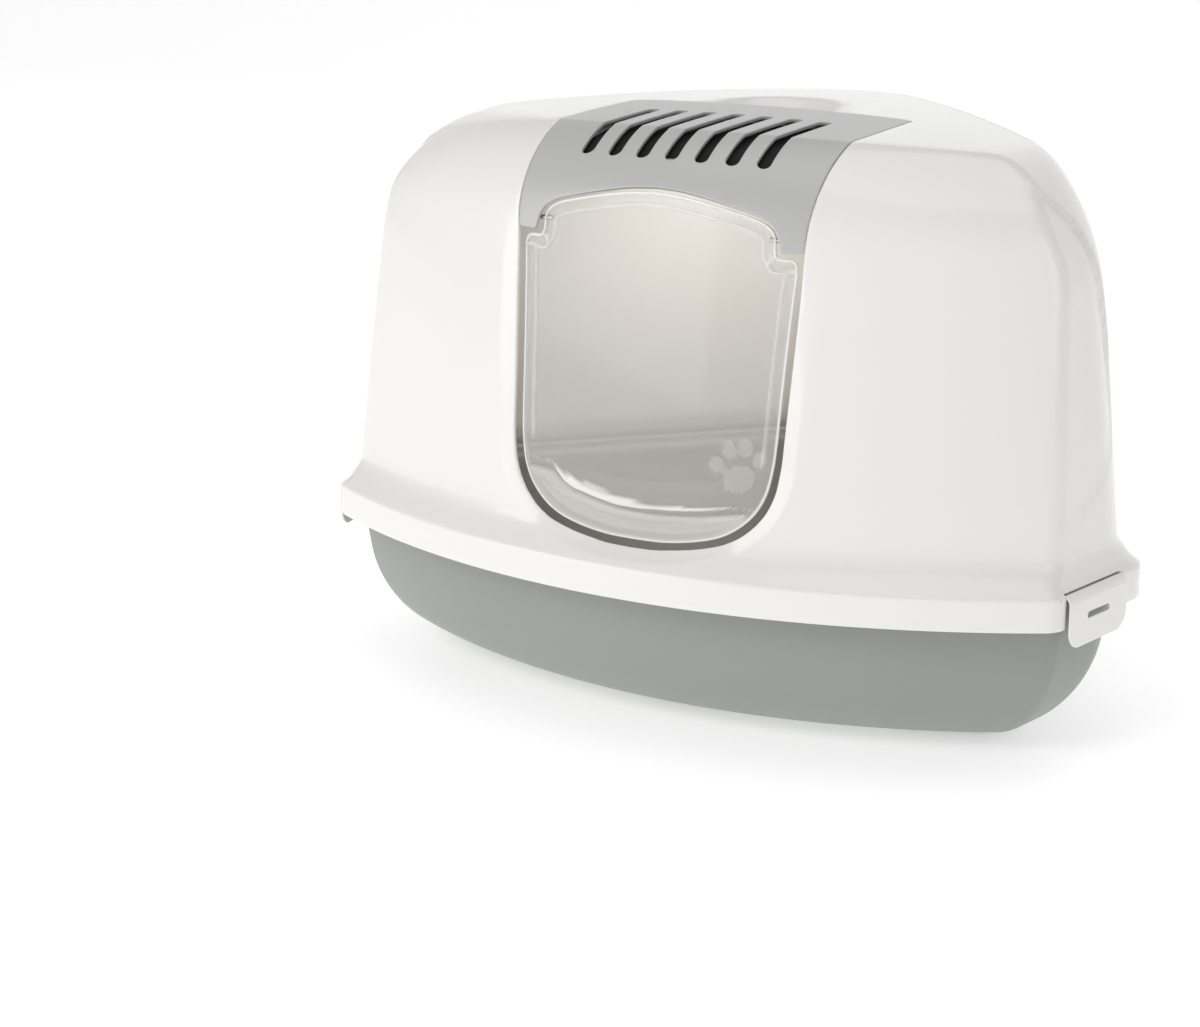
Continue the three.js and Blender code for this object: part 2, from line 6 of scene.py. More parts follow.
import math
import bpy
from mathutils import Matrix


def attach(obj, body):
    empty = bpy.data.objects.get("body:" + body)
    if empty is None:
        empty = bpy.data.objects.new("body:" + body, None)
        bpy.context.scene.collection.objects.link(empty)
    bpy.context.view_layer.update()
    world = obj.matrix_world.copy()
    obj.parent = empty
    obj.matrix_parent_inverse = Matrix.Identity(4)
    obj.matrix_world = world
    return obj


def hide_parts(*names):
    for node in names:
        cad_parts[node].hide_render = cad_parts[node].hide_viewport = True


bl_info = {
    "name": "Hooded Corner Litter Box",
    "version": (1, 0, 0),
    "blender": (4, 5, 0),
    "location": "3D View > Sidebar > Litter Box",
    "description": "Builds a hooded corner litter box with its panel, door, clips and filter",
    "category": "Add Mesh",
}

import bpy
import numpy as np
from bpy.props import FloatProperty, FloatVectorProperty, IntProperty, PointerProperty
from mathutils import Vector

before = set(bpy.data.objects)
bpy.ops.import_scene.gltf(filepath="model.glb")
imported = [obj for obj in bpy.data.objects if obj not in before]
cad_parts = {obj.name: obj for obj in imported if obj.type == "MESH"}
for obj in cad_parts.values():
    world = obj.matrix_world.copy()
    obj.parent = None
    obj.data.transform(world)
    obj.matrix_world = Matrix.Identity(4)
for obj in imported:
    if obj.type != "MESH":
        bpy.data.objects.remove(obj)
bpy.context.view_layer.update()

MM = 0.001

# Plan of the skirt band: a bowed front, two short sides and two walls at right angles behind.
FRONT = -227.5
SIDE_FRONT = np.array([274.3, -150.1])
SIDE_REAR = np.array([294.4, -47.0])
REAR_ANGLE = math.radians(135)
SAGITTA = SIDE_FRONT[1] - FRONT
BOW_RADIUS = (SIDE_FRONT[0] ** 2 + SAGITTA**2) / (2 * SAGITTA)
BOW_CENTRE = np.array([0.0, FRONT + BOW_RADIUS])
SIDE_ANGLE = math.atan2(*(SIDE_REAR - SIDE_FRONT)[::-1])
BAND_RADII = np.array([18.0, 25.0, 48.04])

# Heights.
BAND_BOTTOM = 99.4
BAND_TOP = 122.2
WALL_START = 137.0
SHOULDER_TOP = 390.5
CROWN_CENTRE = np.array([0.0, 28.0])

# The dome that the crown lies on: its top, its middle and its fall per square millimetre from there.
DOME_TOP = 395.3
DOME_MIDDLE = np.array([0.0, -40.0])
DOME_FALL = 0.00023
DOME_FROM = 300.0

# The hood's front, side and rear walls: inset at the wall's foot, lean, and the shoulder's foot, reach
# and power.
HOOD_BASE = np.array([16.5, 10.0, 10.0])
HOOD_LEAN = np.array([0.127, 0.071, 0.095])
SHOULDER_FOOT = np.array([335.0, 297.0, 265.0])
SHOULDER_END = np.array([393.0, 391.0, 391.0])
SHOULDER_REACH = np.array([70.0, 72.0, 21.0])
SHOULDER_POWER = np.array([2.0, 2.4, 1.6])
HOOD_RADII = np.array([20.0, 58.0, 60.0])
HOOD_RADII_LOSS = np.array([0.62, 0.62, 0.25])

# The skirt's section: heights, and the inset of each side there.
SKIRT_Z = np.array([99.0, 120.9, 122.2, 125.6, 132.6, 137.0])
SKIRT_INSET = np.array([
    [0.0, 0.0, 0.0], [0.0, 0.0, 0.0], [1.4, 1.4, 1.4],
    [5.4, 5.4, 5.4], [13.4, 8.4, 8.4], [16.5, 10.0, 10.0],
])

# Right half of the doorway and of the soft bevel round it, in X and Z.
DOORWAY = np.array([
    (0, 131), (16.7, 131.3), (28, 132.5), (45.4, 135), (63, 139.4), (75.3, 145.4), (84.8, 153.4),
    (91.2, 161.7), (95, 169.5), (97.5, 177.5), (99, 187.6), (100, 198), (101, 226), (102, 246), (103, 270),
    (104, 292), (105, 325), (106, 340), (107, 367), (108, 388), (108.4, 400),
])
BEVEL = np.array([
    (0, 124.6), (20, 125), (40, 127), (58, 131.2), (71, 136), (82, 141), (92, 148.4), (99, 156), (104, 164),
    (108.5, 174), (111, 190), (112, 207), (114, 235), (116, 270), (117, 310), (117, 345), (118, 400),
])
FACE_FRONT = -208.6
FACE_BOW = 990.0
FACE_LEAN = 0.119
BEVEL_FADE = (296.0, 350.0)

# Seat of the vent panel on the crown: half width by Y, and the Y from which the doorway's edge goes on.
SEAT_Y = np.array([-200.0, -150.0, -125.0, -69.0, -13.5])
SEAT_HALF = np.array([106.9, 107.3, 107.9, 108.3, 106.6])
SEAT_REAR = SEAT_Y[-1]
SEAT_FRONT = -125.4

# The dished grip recess behind the seat.
GRIP_MIDDLE = -12.0
GRIP_HALF = (56.0, 68.0)

TRAY_BASE = np.array([19.4, 10.4, 16.6])
TRAY_REACH = np.array([57.0, 58.0, 50.0])
TRAY_LEAN = 0.15
TRAY_RADII = np.array([15.0, 42.0, 70.0])
TRAY_RADII_LOSS = 0.7
TRAY_UNDER = 3.0
TRAY_CURVE_TOP = 70.7
LIP_INSET = 3.8


# ---------- numbers and curves ----------


def smooth(t):
    """0 below 0, 1 above 1, and an S curve, 3t^2 - 2t^3, between."""
    t = np.clip(t, 0.0, 1.0)
    return t * t * (3.0 - 2.0 * t)


def spow(value, power):
    """A signed power: it keeps the sign and raises the size."""
    return np.sign(value) * np.abs(value) ** power


def heading(angle):
    """The unit vector at an angle from +X."""
    return np.array([math.cos(angle), math.sin(angle)])


def through(points, steps):
    """A smooth curve through points: a Catmull-Rom cubic between each pair, its tangent at a point being
    half the step from the point before to the point after."""
    p = np.asarray(points, float)
    ends = np.vstack([2 * p[0] - p[1], p, 2 * p[-1] - p[-2]])
    a, b, c, d = ends[:-3, None], ends[1:-2, None], ends[2:-1, None], ends[3:, None]
    t = (np.arange(steps) / steps)[None, :, None]
    square, cube = 2 * a - 5 * b + 4 * c - d, 3 * b - a - 3 * c + d
    curve = 0.5 * (2 * b + (c - a) * t + square * t**2 + cube * t**3)
    return np.vstack([curve.reshape(-1, p.shape[1]), p[-1]])


def both_halves(half):
    """A closed outline from its right half, which runs from the bottom of the middle line to its top."""
    return np.vstack([half, (half * [-1, 1])[1:-1][::-1]])


def distance(x, z, outline):
    """Signed distance to a closed outline: the least distance to any of its edges, negative inside."""
    start = np.asarray(outline, float)
    run = np.roll(start, -1, axis=0) - start
    shape = np.shape(x)
    px, pz = np.ravel(x), np.ravel(z)
    best = np.full(px.shape, np.inf)
    inside = np.zeros(px.shape, bool)
    for (ax, az), (dx, dz) in zip(start, run):
        wx, wz = px - ax, pz - az
        t = np.clip((wx * dx + wz * dz) / max(dx * dx + dz * dz, 1e-12), 0, 1)
        best = np.minimum(best, (wx - t * dx) ** 2 + (wz - t * dz) ** 2)
        if dz != 0:
            crosses = (az > pz) != (az + dz > pz)
            inside ^= crosses & (px < ax + (pz - az) * dx / dz)
    return np.where(inside, -1, 1).reshape(shape) * np.sqrt(best).reshape(shape)


def near_path(x, z, path):
    """Distance to an open path: the least distance to any of its pieces."""
    best = np.full(np.shape(x), np.inf)
    for (ax, az), (bx, bz) in zip(path[:-1], path[1:]):
        dx, dz = bx - ax, bz - az
        t = np.clip(((x - ax) * dx + (z - az) * dz) / (dx * dx + dz * dz), 0, 1)
        best = np.minimum(best, np.hypot(x - ax - t * dx, z - az - t * dz))
    return best


# ---------- grids, cuts and walls ----------


def trim(points, keep, wrap=False, snap=0.3):
    """Cuts a grid of points along the line where keep is zero, and keeps the side where it is positive.

    A corner closer to the line than snap of its cell moves onto it. Each cell that the line crosses keeps
    the polygon on the positive side, whose new corners are where keep is zero along the cell's edges.
    """
    rows, cols = keep.shape
    keep = np.where(keep == 0, 1e-9, keep)
    field = keep.copy()
    moved = points.copy()
    best = np.full(keep.shape, snap)
    for axis, step in ((0, 1), (0, -1), (1, 1), (1, -1)):
        other = np.roll(keep, -step, axis)
        there = np.roll(points, -step, axis)
        crosses = keep * other < 0
        if axis == 0 or not wrap:
            edge = [slice(None), slice(None)]
            edge[axis] = -1 if step > 0 else 0
            crosses[tuple(edge)] = False
        share = np.where(crosses, keep / np.where(crosses, keep - other, 1.0), 1.0)
        near = share < best
        best[near] = share[near]
        moved[near] = points[near] + share[near, None] * (there[near] - points[near])
        field[near] = 0
    index = np.arange(rows * cols).reshape(rows, cols)
    if wrap:
        index = np.hstack([index, index[:, :1]])
    flat, value = points.reshape(-1, 3), field.ravel()

    def crossings(a, b, base):
        cut = value[a] * value[b] < 0
        ids = np.full(a.shape, -1)
        ids[cut] = base + np.arange(cut.sum())
        fa, fb = keep.ravel()[a[cut]], keep.ravel()[b[cut]]
        t = (fa / (fa - fb))[:, None]
        return ids, flat[a[cut]] * (1 - t) + flat[b[cut]] * t

    across, across_at = crossings(index[:, :-1], index[:, 1:], rows * cols)
    along, along_at = crossings(index[:-1], index[1:], rows * cols + len(across_at))
    vertices = np.vstack([moved.reshape(-1, 3), across_at, along_at])
    corner = np.where(value[index] >= 0, index, -1)
    cells = np.stack([
        corner[:-1, :-1], across[:-1], corner[:-1, 1:], along[:, 1:],
        corner[1:, 1:], across[1:], corner[1:, :-1], along[:, :-1],
    ], axis=-1).reshape(-1, 8)
    real = value[index] > 0
    some = (real[:-1, :-1] | real[:-1, 1:] | real[1:, 1:] | real[1:, :-1]).ravel()
    cells = cells[some]
    cells = np.take_along_axis(cells, np.argsort(cells < 0, axis=1, kind="stable"), axis=1)
    counts = (cells >= 0).sum(1)
    faces = [cells[counts == n][:, :n] for n in range(3, 9)]
    return compact(vertices, [f for f in faces if len(f)])


def compact(vertices, faces):
    """Leaves out the points that no face uses."""
    used = np.unique(np.concatenate([f.ravel() for f in faces]))
    place = np.full(len(vertices), -1)
    place[used] = np.arange(len(used))
    return vertices[used], [place[f] for f in faces]


def grid_faces(rows, cols, wrap=False):
    """The quads of a grid whose points are numbered row by row."""
    index = np.arange(rows * cols).reshape(rows, cols)
    if wrap:
        index = np.hstack([index, index[:, :1]])
    return np.stack([index[:-1, :-1], index[:-1, 1:], index[1:, 1:], index[1:, :-1]], -1).reshape(-1, 4)


def fan(ring, tip):
    """Triangles from a ring of points to one point, the ring running backwards round them."""
    return np.stack([np.roll(ring, -1), ring, np.full(len(ring), tip)], 1)


def cap_ends(vertices, faces, rows, cols):
    """Closes the first and last ring of a tube of quads with fans about their middles."""
    first = np.arange(cols)
    last = first + (rows - 1) * cols
    count = len(vertices)
    vertices = np.vstack([vertices, vertices[first].mean(0), vertices[last].mean(0)])
    return vertices, faces + [fan(first, count), fan(last, count + 1)[:, [1, 0, 2]]]


def close_end(vertices, faces, ring):
    """Closes a skin's last ring with a fan about its middle."""
    gap = np.abs(vertices[:, None, :] - ring[None, :, :]).sum(2)
    ids = gap.argmin(0)
    return np.vstack([vertices, ring.mean(0)]), faces + [fan(ids, len(vertices))[:, [1, 0, 2]]]


def normals_of(vertices, faces):
    """Unit normals at the points: the area-weighted sum of the normals of the faces round each."""
    total = np.zeros_like(vertices)
    for f in faces:
        p = vertices[f]
        area = np.cross(p - p[:, :1], np.roll(p, -1, axis=1) - p[:, :1]).sum(1)
        for k in range(f.shape[1]):
            np.add.at(total, f[:, k], area)
    return total / np.maximum(np.linalg.norm(total, axis=1), 1e-12)[:, None]


def shell(vertices, faces, thickness, radius, steps=3):
    """Gives a skin a wall: the skin, its copy moved inwards by the thickness, and a rounded rim.

    A point of the rim is the edge point + e r sin(a) - n depth, where n is the skin's normal, e points
    away from the skin, and depth is r(1 - cos(a)) for the outer quarter turn and the thickness less
    r(1 + cos(a)) for the inner one.
    """
    count = len(vertices)
    normal = normals_of(vertices, faces)
    starts = np.concatenate([f.ravel() for f in faces])
    ends = np.concatenate([np.roll(f, -1, axis=1).ravel() for f in faces])
    free = ~np.isin(starts * count + ends, ends * count + starts)
    a, b = starts[free], ends[free]
    inner = vertices - normal * thickness
    sides = [faces, [f[:, ::-1] + count for f in faces]]
    if not len(a):
        return np.vstack([vertices, inner]), sides[0] + sides[1]
    run = vertices[b] - vertices[a]
    run /= np.maximum(np.linalg.norm(run, axis=1), 1e-9)[:, None]
    tangent = np.zeros_like(vertices)
    np.add.at(tangent, a, run)
    np.add.at(tangent, b, run)
    edge = np.unique(np.concatenate([a, b]))
    away = np.cross(tangent[edge], normal[edge])
    away /= np.maximum(np.linalg.norm(away, axis=1), 1e-9)[:, None]
    turns = np.linspace(0, math.pi / 2, steps + 1)
    profile = [(radius * math.sin(t), radius * (1 - math.cos(t))) for t in turns[1:]]
    profile += [(radius * math.cos(t), thickness - radius * (1 - math.sin(t))) for t in turns[:-1]]
    rim = [vertices[edge] + away * out - normal[edge] * deep for out, deep in profile]
    place = np.full(count, -1)
    place[edge] = np.arange(len(edge))
    levels = [np.arange(count)]
    levels += [place + 2 * count + k * len(edge) for k in range(len(rim))]
    levels.append(np.arange(count) + count)
    strips = [np.stack([low[b], low[a], high[a], high[b]], 1) for low, high in zip(levels[:-1], levels[1:])]
    return np.vstack([vertices, inner, *rim]), sides[0] + sides[1] + strips


def make(name, vertices, faces, materials, body=None, attributes=None):
    """Puts points in millimetres and faces into a new object, and says which body it rides on."""
    mesh = bpy.data.meshes.new(name)
    counts = np.concatenate([np.full(len(f), f.shape[1]) for f in faces])
    loops = np.concatenate([f.ravel() for f in faces])
    mesh.vertices.add(len(vertices))
    mesh.vertices.foreach_set("co", (vertices * MM).astype(np.float32).ravel())
    mesh.loops.add(len(loops))
    mesh.loops.foreach_set("vertex_index", loops.astype(np.int32))
    mesh.polygons.add(len(counts))
    mesh.polygons.foreach_set("loop_start", (np.cumsum(counts) - counts).astype(np.int32))
    mesh.polygons.foreach_set("use_smooth", np.ones(len(counts), bool))
    for key, values in (attributes or {}).items():
        layer = mesh.attributes.new(key, "FLOAT", "POINT")
        layer.data.foreach_set("value", values.astype(np.float32))
    mesh.update(calc_edges=True)
    if mesh.validate():
        raise RuntimeError(f"{name} has faces that are not valid")
    for material in materials:
        mesh.materials.append(material)
    piece = bpy.data.objects.new(name, mesh)
    bpy.context.scene.collection.objects.link(piece)
    if body:
        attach(piece, body)
    return piece


# ---------- the plan and the hood's surface ----------


def inwards(point, angle, depth):
    """Points moved inwards from a wall that runs at an angle, one for each depth."""
    return point + np.asarray(depth)[:, None] * heading(angle + math.pi / 2)


def crossing(p, p_angle, q, q_angle):
    """Where lines cross, two points and two angles each."""
    u, v = heading(p_angle), heading(q_angle)
    w = q - p
    along = (w[:, 0] * v[1] - w[:, 1] * v[0]) / (u[0] * v[1] - u[1] * v[0])
    return p + along[:, None] * u


def turn(centre, radius, start, end, shares):
    """Points on an arc: centre + radius (cos, sin) of an angle that runs from start to end."""
    angle = start[:, None] + (end - start)[:, None] * shares
    spoke = np.stack([np.cos(angle), np.sin(angle)], -1)
    return centre[:, None] + np.asarray(radius)[:, None, None] * spoke


# Shares of each stretch of the plan's right half at which its points stand.
FRONT_SHARES = np.concatenate([np.linspace(0, 0.7, 76), np.linspace(0.7, 1, 13)[1:]])
CORNER_SHARES = np.linspace(0, 1, 11)
SIDE_SHARES = np.linspace(0, 1, 41)
TURN_SHARES = np.linspace(0, 1, 21)
REAR_SHARES = np.linspace(0, 1, 17)
BACK_SHARES = np.linspace(0, 1, 11)


def rings(inset, radii, z):
    """One ring of the plan for each row of insets (front, side, rear), corner radii and heights.

    The right half is the bowed front, an arc about the bow's centre; a corner arc; the straight side; a
    corner arc; the straight rear wall; and half of the back corner's arc. The left half is its mirror.
    """
    inset, radii = np.atleast_2d(inset), np.atleast_2d(radii)
    start = inwards(SIDE_FRONT, SIDE_ANGLE, inset[:, 1] + radii[:, 0])
    offset = start - BOW_CENTRE
    run = heading(SIDE_ANGLE)
    half = offset @ run
    reach = -half - np.sqrt(half**2 - (offset**2).sum(1) + (BOW_RADIUS - inset[:, 0] - radii[:, 0]) ** 2)
    front = start + reach[:, None] * run
    side = crossing(
        inwards(SIDE_FRONT, SIDE_ANGLE, inset[:, 1] + radii[:, 1]), SIDE_ANGLE,
        inwards(SIDE_REAR, REAR_ANGLE, inset[:, 2] + radii[:, 1]), REAR_ANGLE,
    )
    back = crossing(
        inwards(SIDE_REAR, REAR_ANGLE, inset[:, 2] + radii[:, 2]), REAR_ANGLE,
        np.zeros((1, 2)), math.pi / 2,
    )
    meet = np.arctan2(front[:, 1] - BOW_CENTRE[1], front[:, 0])
    quarter = np.full(len(meet), math.pi / 2)
    centre = np.repeat(BOW_CENTRE[None], len(meet), 0)
    side_out, rear_out = SIDE_ANGLE - quarter, REAR_ANGLE - quarter
    bow = turn(centre, BOW_RADIUS - inset[:, 0], -quarter, meet, FRONT_SHARES)
    first = turn(front, radii[:, 0], meet, side_out, CORNER_SHARES)
    second = turn(side, radii[:, 1], side_out, rear_out, TURN_SHARES)
    third = turn(back, radii[:, 2], rear_out, quarter, BACK_SHARES)
    along = SIDE_SHARES[None, :, None]
    flank = first[:, -1:] * (1 - along) + second[:, :1] * along
    along = REAR_SHARES[None, :, None]
    wall = second[:, -1:] * (1 - along) + third[:, :1] * along
    right = np.concatenate([bow, first[:, 1:], flank[:, 1:], second[:, 1:], wall[:, 1:], third[:, 1:]], 1)
    left = (right * [-1, 1])[:, 1:-1][:, ::-1]
    plan = np.concatenate([right, left], 1)
    height = np.broadcast_to(np.asarray(z, float).reshape(-1, 1, 1), plan.shape[:2] + (1,))
    return np.concatenate([plan, height], 2)


def shoulder_turn(z):
    """How far round the shoulder each side is at a height: 1 - sqrt(1 - t^power), t from 0 at its foot."""
    t = np.clip((np.asarray(z)[:, None] - SHOULDER_FOOT) / (SHOULDER_END - SHOULDER_FOOT), 0, 1)
    return 1 - np.sqrt(1 - t**SHOULDER_POWER)


def hood_inset(z):
    """Insets of the skirt and the walls: straight runs between the section's corners, averaged over a
    short height to round them, and the shoulder's turn above."""
    z = np.asarray(z, float)
    span = np.interp(z, [121, 126, 132, 142], [0.9, 1.6, 3.2, 3.2])
    level = z[:, None] + np.linspace(-1, 1, 9) * span[:, None]
    inset = np.empty((len(z), 3))
    for k in range(3):
        wall = HOOD_BASE[k] + HOOD_LEAN[k] * (level - WALL_START)
        skirt = np.interp(level, SKIRT_Z, SKIRT_INSET[:, k])
        inset[:, k] = np.where(level > WALL_START, wall, skirt).mean(1)
    return inset + SHOULDER_REACH * shoulder_turn(z)


def hood_radii(z):
    """Corner radii: the band's, growing to the wall's over the flange and shrinking round the shoulder."""
    z = np.asarray(z, float)
    grow = smooth((z - BAND_TOP) / (WALL_START + 3 - BAND_TOP))[:, None]
    keep = 1 - HOOD_RADII_LOSS * shoulder_turn(z)[:, 1:2]
    return (BAND_RADII + (HOOD_RADII - BAND_RADII) * grow) * keep


def domed(points):
    """Bends the shoulder's level top to the dome: heights change by the dome's height over the rim's level,
    in full at the rim and not at all below DOME_FROM."""
    x, y, z = points[..., 0], points[..., 1], points[..., 2]
    height = DOME_TOP - DOME_FALL * ((x - DOME_MIDDLE[0]) ** 2 + (y - DOME_MIDDLE[1]) ** 2)
    share = smooth((z - DOME_FROM) / (SHOULDER_TOP - DOME_FROM))
    return np.stack([x, y, z + share * (height - SHOULDER_TOP)], -1)


def front_face(x, z):
    """Y of the hood's front wall and shoulder: on the bow's arc, drawn in by the front inset."""
    z = np.asarray(z, float)
    inset = hood_inset(z.ravel())[:, 0].reshape(z.shape)
    return BOW_CENTRE[1] - np.sqrt((BOW_RADIUS - inset) ** 2 - x**2)


def door_plane(x, z):
    """Y of the leaning, bowed face that the doorway's edge lies on."""
    return FACE_FRONT + x**2 / FACE_BOW + FACE_LEAN * (z - DOORWAY[0, 1])


def seat_half(y):
    """Half the width of the panel's seat at a Y."""
    return np.interp(y, SEAT_Y, SEAT_HALF)


# ---------- finishes ----------


def node_group(name, inputs, outputs):
    """An empty shader node group with named sockets, and its two end nodes."""
    group = bpy.data.node_groups.new(name, "ShaderNodeTree")
    for kind, key, default in inputs:
        socket = group.interface.new_socket(name=key, in_out="INPUT", socket_type=kind)
        if default is not None:
            socket.default_value = default
    for kind, key in outputs:
        group.interface.new_socket(name=key, in_out="OUTPUT", socket_type=kind)
    return group, group.nodes.new("NodeGroupInput"), group.nodes.new("NodeGroupOutput")


def add(tree, kind, links=None, **settings):
    """A node in a tree, with its settings, and its inputs set or linked by name or number."""
    node = tree.nodes.new(kind)
    for key, value in settings.items():
        setattr(node, key, value)
    for key, value in (links or {}).items():
        if isinstance(value, bpy.types.NodeSocket):
            tree.links.new(value, node.inputs[key])
        else:
            node.inputs[key].default_value = value
    return node


def moulding_group():
    """Moulded plastic's skin: fine grain and slow waves in the surface, and gloss that varies a little."""
    name = "moulded_skin"
    if name in bpy.data.node_groups:
        return bpy.data.node_groups[name]
    group, start, end = node_group(name, [
        ("NodeSocketFloat", "Grain Scale", 2500.0),
        ("NodeSocketFloat", "Grain Height", 0.05),
        ("NodeSocketFloat", "Wave Height", 0.1),
        ("NodeSocketFloat", "Roughness", 0.3),
        ("NodeSocketFloat", "Variation", 0.05),
    ], [("NodeSocketVector", "Normal"), ("NodeSocketFloat", "Roughness")])
    place = add(group, "ShaderNodeTexCoord").outputs["Object"]
    grain = add(group, "ShaderNodeTexNoise", {
        "Vector": place, "Scale": start.outputs["Grain Scale"], "Detail": 2.0,
    })
    wave = add(group, "ShaderNodeTexNoise", {"Vector": place, "Scale": 9.0, "Detail": 1.0})
    cloud = add(group, "ShaderNodeTexNoise", {
        "Vector": place, "Scale": 35.0, "Detail": 4.0, "Roughness": 0.6,
    })
    waves = add(group, "ShaderNodeBump", {
        "Height": wave.outputs["Fac"], "Strength": start.outputs["Wave Height"], "Distance": 0.004,
    })
    grains = add(group, "ShaderNodeBump", {
        "Height": grain.outputs["Fac"], "Strength": start.outputs["Grain Height"], "Distance": 0.0004,
        "Normal": waves.outputs["Normal"],
    })
    swing = add(group, "ShaderNodeMath", {0: cloud.outputs["Fac"], 1: 0.5}, operation="SUBTRACT")
    spread = add(group, "ShaderNodeMath", {
        0: swing.outputs[0], 1: start.outputs["Variation"], 2: start.outputs["Roughness"],
    }, operation="MULTIPLY_ADD")
    group.links.new(grains.outputs["Normal"], end.inputs["Normal"])
    group.links.new(spread.outputs[0], end.inputs["Roughness"])
    return group


def tint_group():
    """A colour that drifts between two close tints over the surface."""
    name = "drifting_tint"
    if name in bpy.data.node_groups:
        return bpy.data.node_groups[name]
    group, start, end = node_group(name, [
        ("NodeSocketColor", "First", (0.8, 0.8, 0.8, 1)),
        ("NodeSocketColor", "Second", (0.75, 0.75, 0.75, 1)),
        ("NodeSocketFloat", "Scale", 6.0),
    ], [("NodeSocketColor", "Color")])
    place = add(group, "ShaderNodeTexCoord").outputs["Object"]
    cloud = add(group, "ShaderNodeTexNoise", {
        "Vector": place, "Scale": start.outputs["Scale"], "Detail": 3.0,
    })
    mix = add(group, "ShaderNodeMix", {
        "Factor": cloud.outputs["Fac"], "A": start.outputs["First"], "B": start.outputs["Second"],
    }, data_type="RGBA")
    group.links.new(mix.outputs["Result"], end.inputs["Color"])
    return group


def finish(name, **sockets):
    """A new material, its tree, its Principled shader, and the shader's plain values set."""
    material = bpy.data.materials.new(name)
    material.use_nodes = True
    shader = material.node_tree.nodes["Principled BSDF"]
    for key, value in sockets.items():
        shader.inputs[key.replace("_", " ")].default_value = value
    return material, material.node_tree, shader


def moulded(name, first, second, roughness, variation=0.05, grain=0.05, wave=0.1, scale=2500.0, **sockets):
    """Moulded plastic: a drifting tint, and the skin's grain, waves and gloss."""
    material, tree, shader = finish(name, **sockets)
    tint = add(tree, "ShaderNodeGroup", node_tree=tint_group())
    tint.inputs["First"].default_value = (*first, 1)
    tint.inputs["Second"].default_value = (*second, 1)
    skin = add(tree, "ShaderNodeGroup", node_tree=moulding_group())
    for key, value in (("Grain Scale", scale), ("Grain Height", grain), ("Wave Height", wave),
                       ("Roughness", roughness), ("Variation", variation)):
        skin.inputs[key].default_value = value
    tree.links.new(tint.outputs["Color"], shader.inputs["Base Color"])
    tree.links.new(skin.outputs["Normal"], shader.inputs["Normal"])
    tree.links.new(skin.outputs["Roughness"], shader.inputs["Roughness"])
    return material


def shade(color, share):
    return tuple(c * share for c in color)


def once(name, maker):
    """The material of that name, made the first time that it is asked for."""
    return bpy.data.materials.get(name) or maker()


def white_plastic():
    colour = tuple(bpy.context.scene.litter_finish.hood)
    return once("white_gloss", lambda: moulded(
        "white_gloss", colour, shade(colour, 0.985), 0.2, 0.05, 0.006, 0.04,
        Coat_Weight=0.5, Coat_Roughness=0.06, Coat_IOR=1.45, IOR=1.5,
    ))


def grey_plastic():
    colour = tuple(bpy.context.scene.litter_finish.tray)
    return once("grey_satin", lambda: moulded(
        "grey_satin", colour, shade(colour, 0.96), 0.42, 0.08, 0.12, 0.06, IOR=1.48,
    ))


def silver_plastic():
    colour = tuple(bpy.context.scene.litter_finish.panel)
    return once("silver_satin", lambda: moulded(
        "silver_satin", colour, shade(colour, 0.97), 0.36, 0.06, 0.03, 0.04, Metallic=0.1, IOR=1.5,
    ))


def steel_wire():
    return once("pin_steel", lambda: moulded(
        "pin_steel", (0.62, 0.62, 0.61), (0.55, 0.55, 0.55), 0.28, 0.1, 0.1, 0.0, 4000.0, Metallic=1.0,
    ))


def foot_rubber():
    return once("foot_rubber", lambda: moulded(
        "foot_rubber", (0.075, 0.08, 0.085), (0.06, 0.064, 0.068), 0.75, 0.1, 0.3, 0.1, 1800.0,
    ))


def carbon_foam():
    """Open foam: dark, with cells as deep bumps and paler cell walls."""

    def build():
        material, tree, shader = finish("carbon_foam", Roughness=0.9, Specular_IOR_Level=0.2)
        place = add(tree, "ShaderNodeTexCoord").outputs["Object"]
        cells = add(tree, "ShaderNodeTexVoronoi", {"Vector": place, "Scale": 650.0})
        ramp = add(tree, "ShaderNodeMapRange", {
            "Value": cells.outputs["Distance"], "From Max": 0.7, "To Min": 0.0, "To Max": 1.0,
        })
        mix = add(tree, "ShaderNodeMix", {
            "Factor": ramp.outputs["Result"], "A": (0.004, 0.004, 0.004, 1), "B": (0.03, 0.03, 0.031, 1),
        }, data_type="RGBA")
        bump = add(tree, "ShaderNodeBump", {
            "Height": cells.outputs["Distance"], "Strength": 0.9, "Distance": 0.0015,
        })
        tree.links.new(mix.outputs["Result"], shader.inputs["Base Color"])
        tree.links.new(bump.outputs["Normal"], shader.inputs["Normal"])
        return material

    return once("carbon_foam", build)


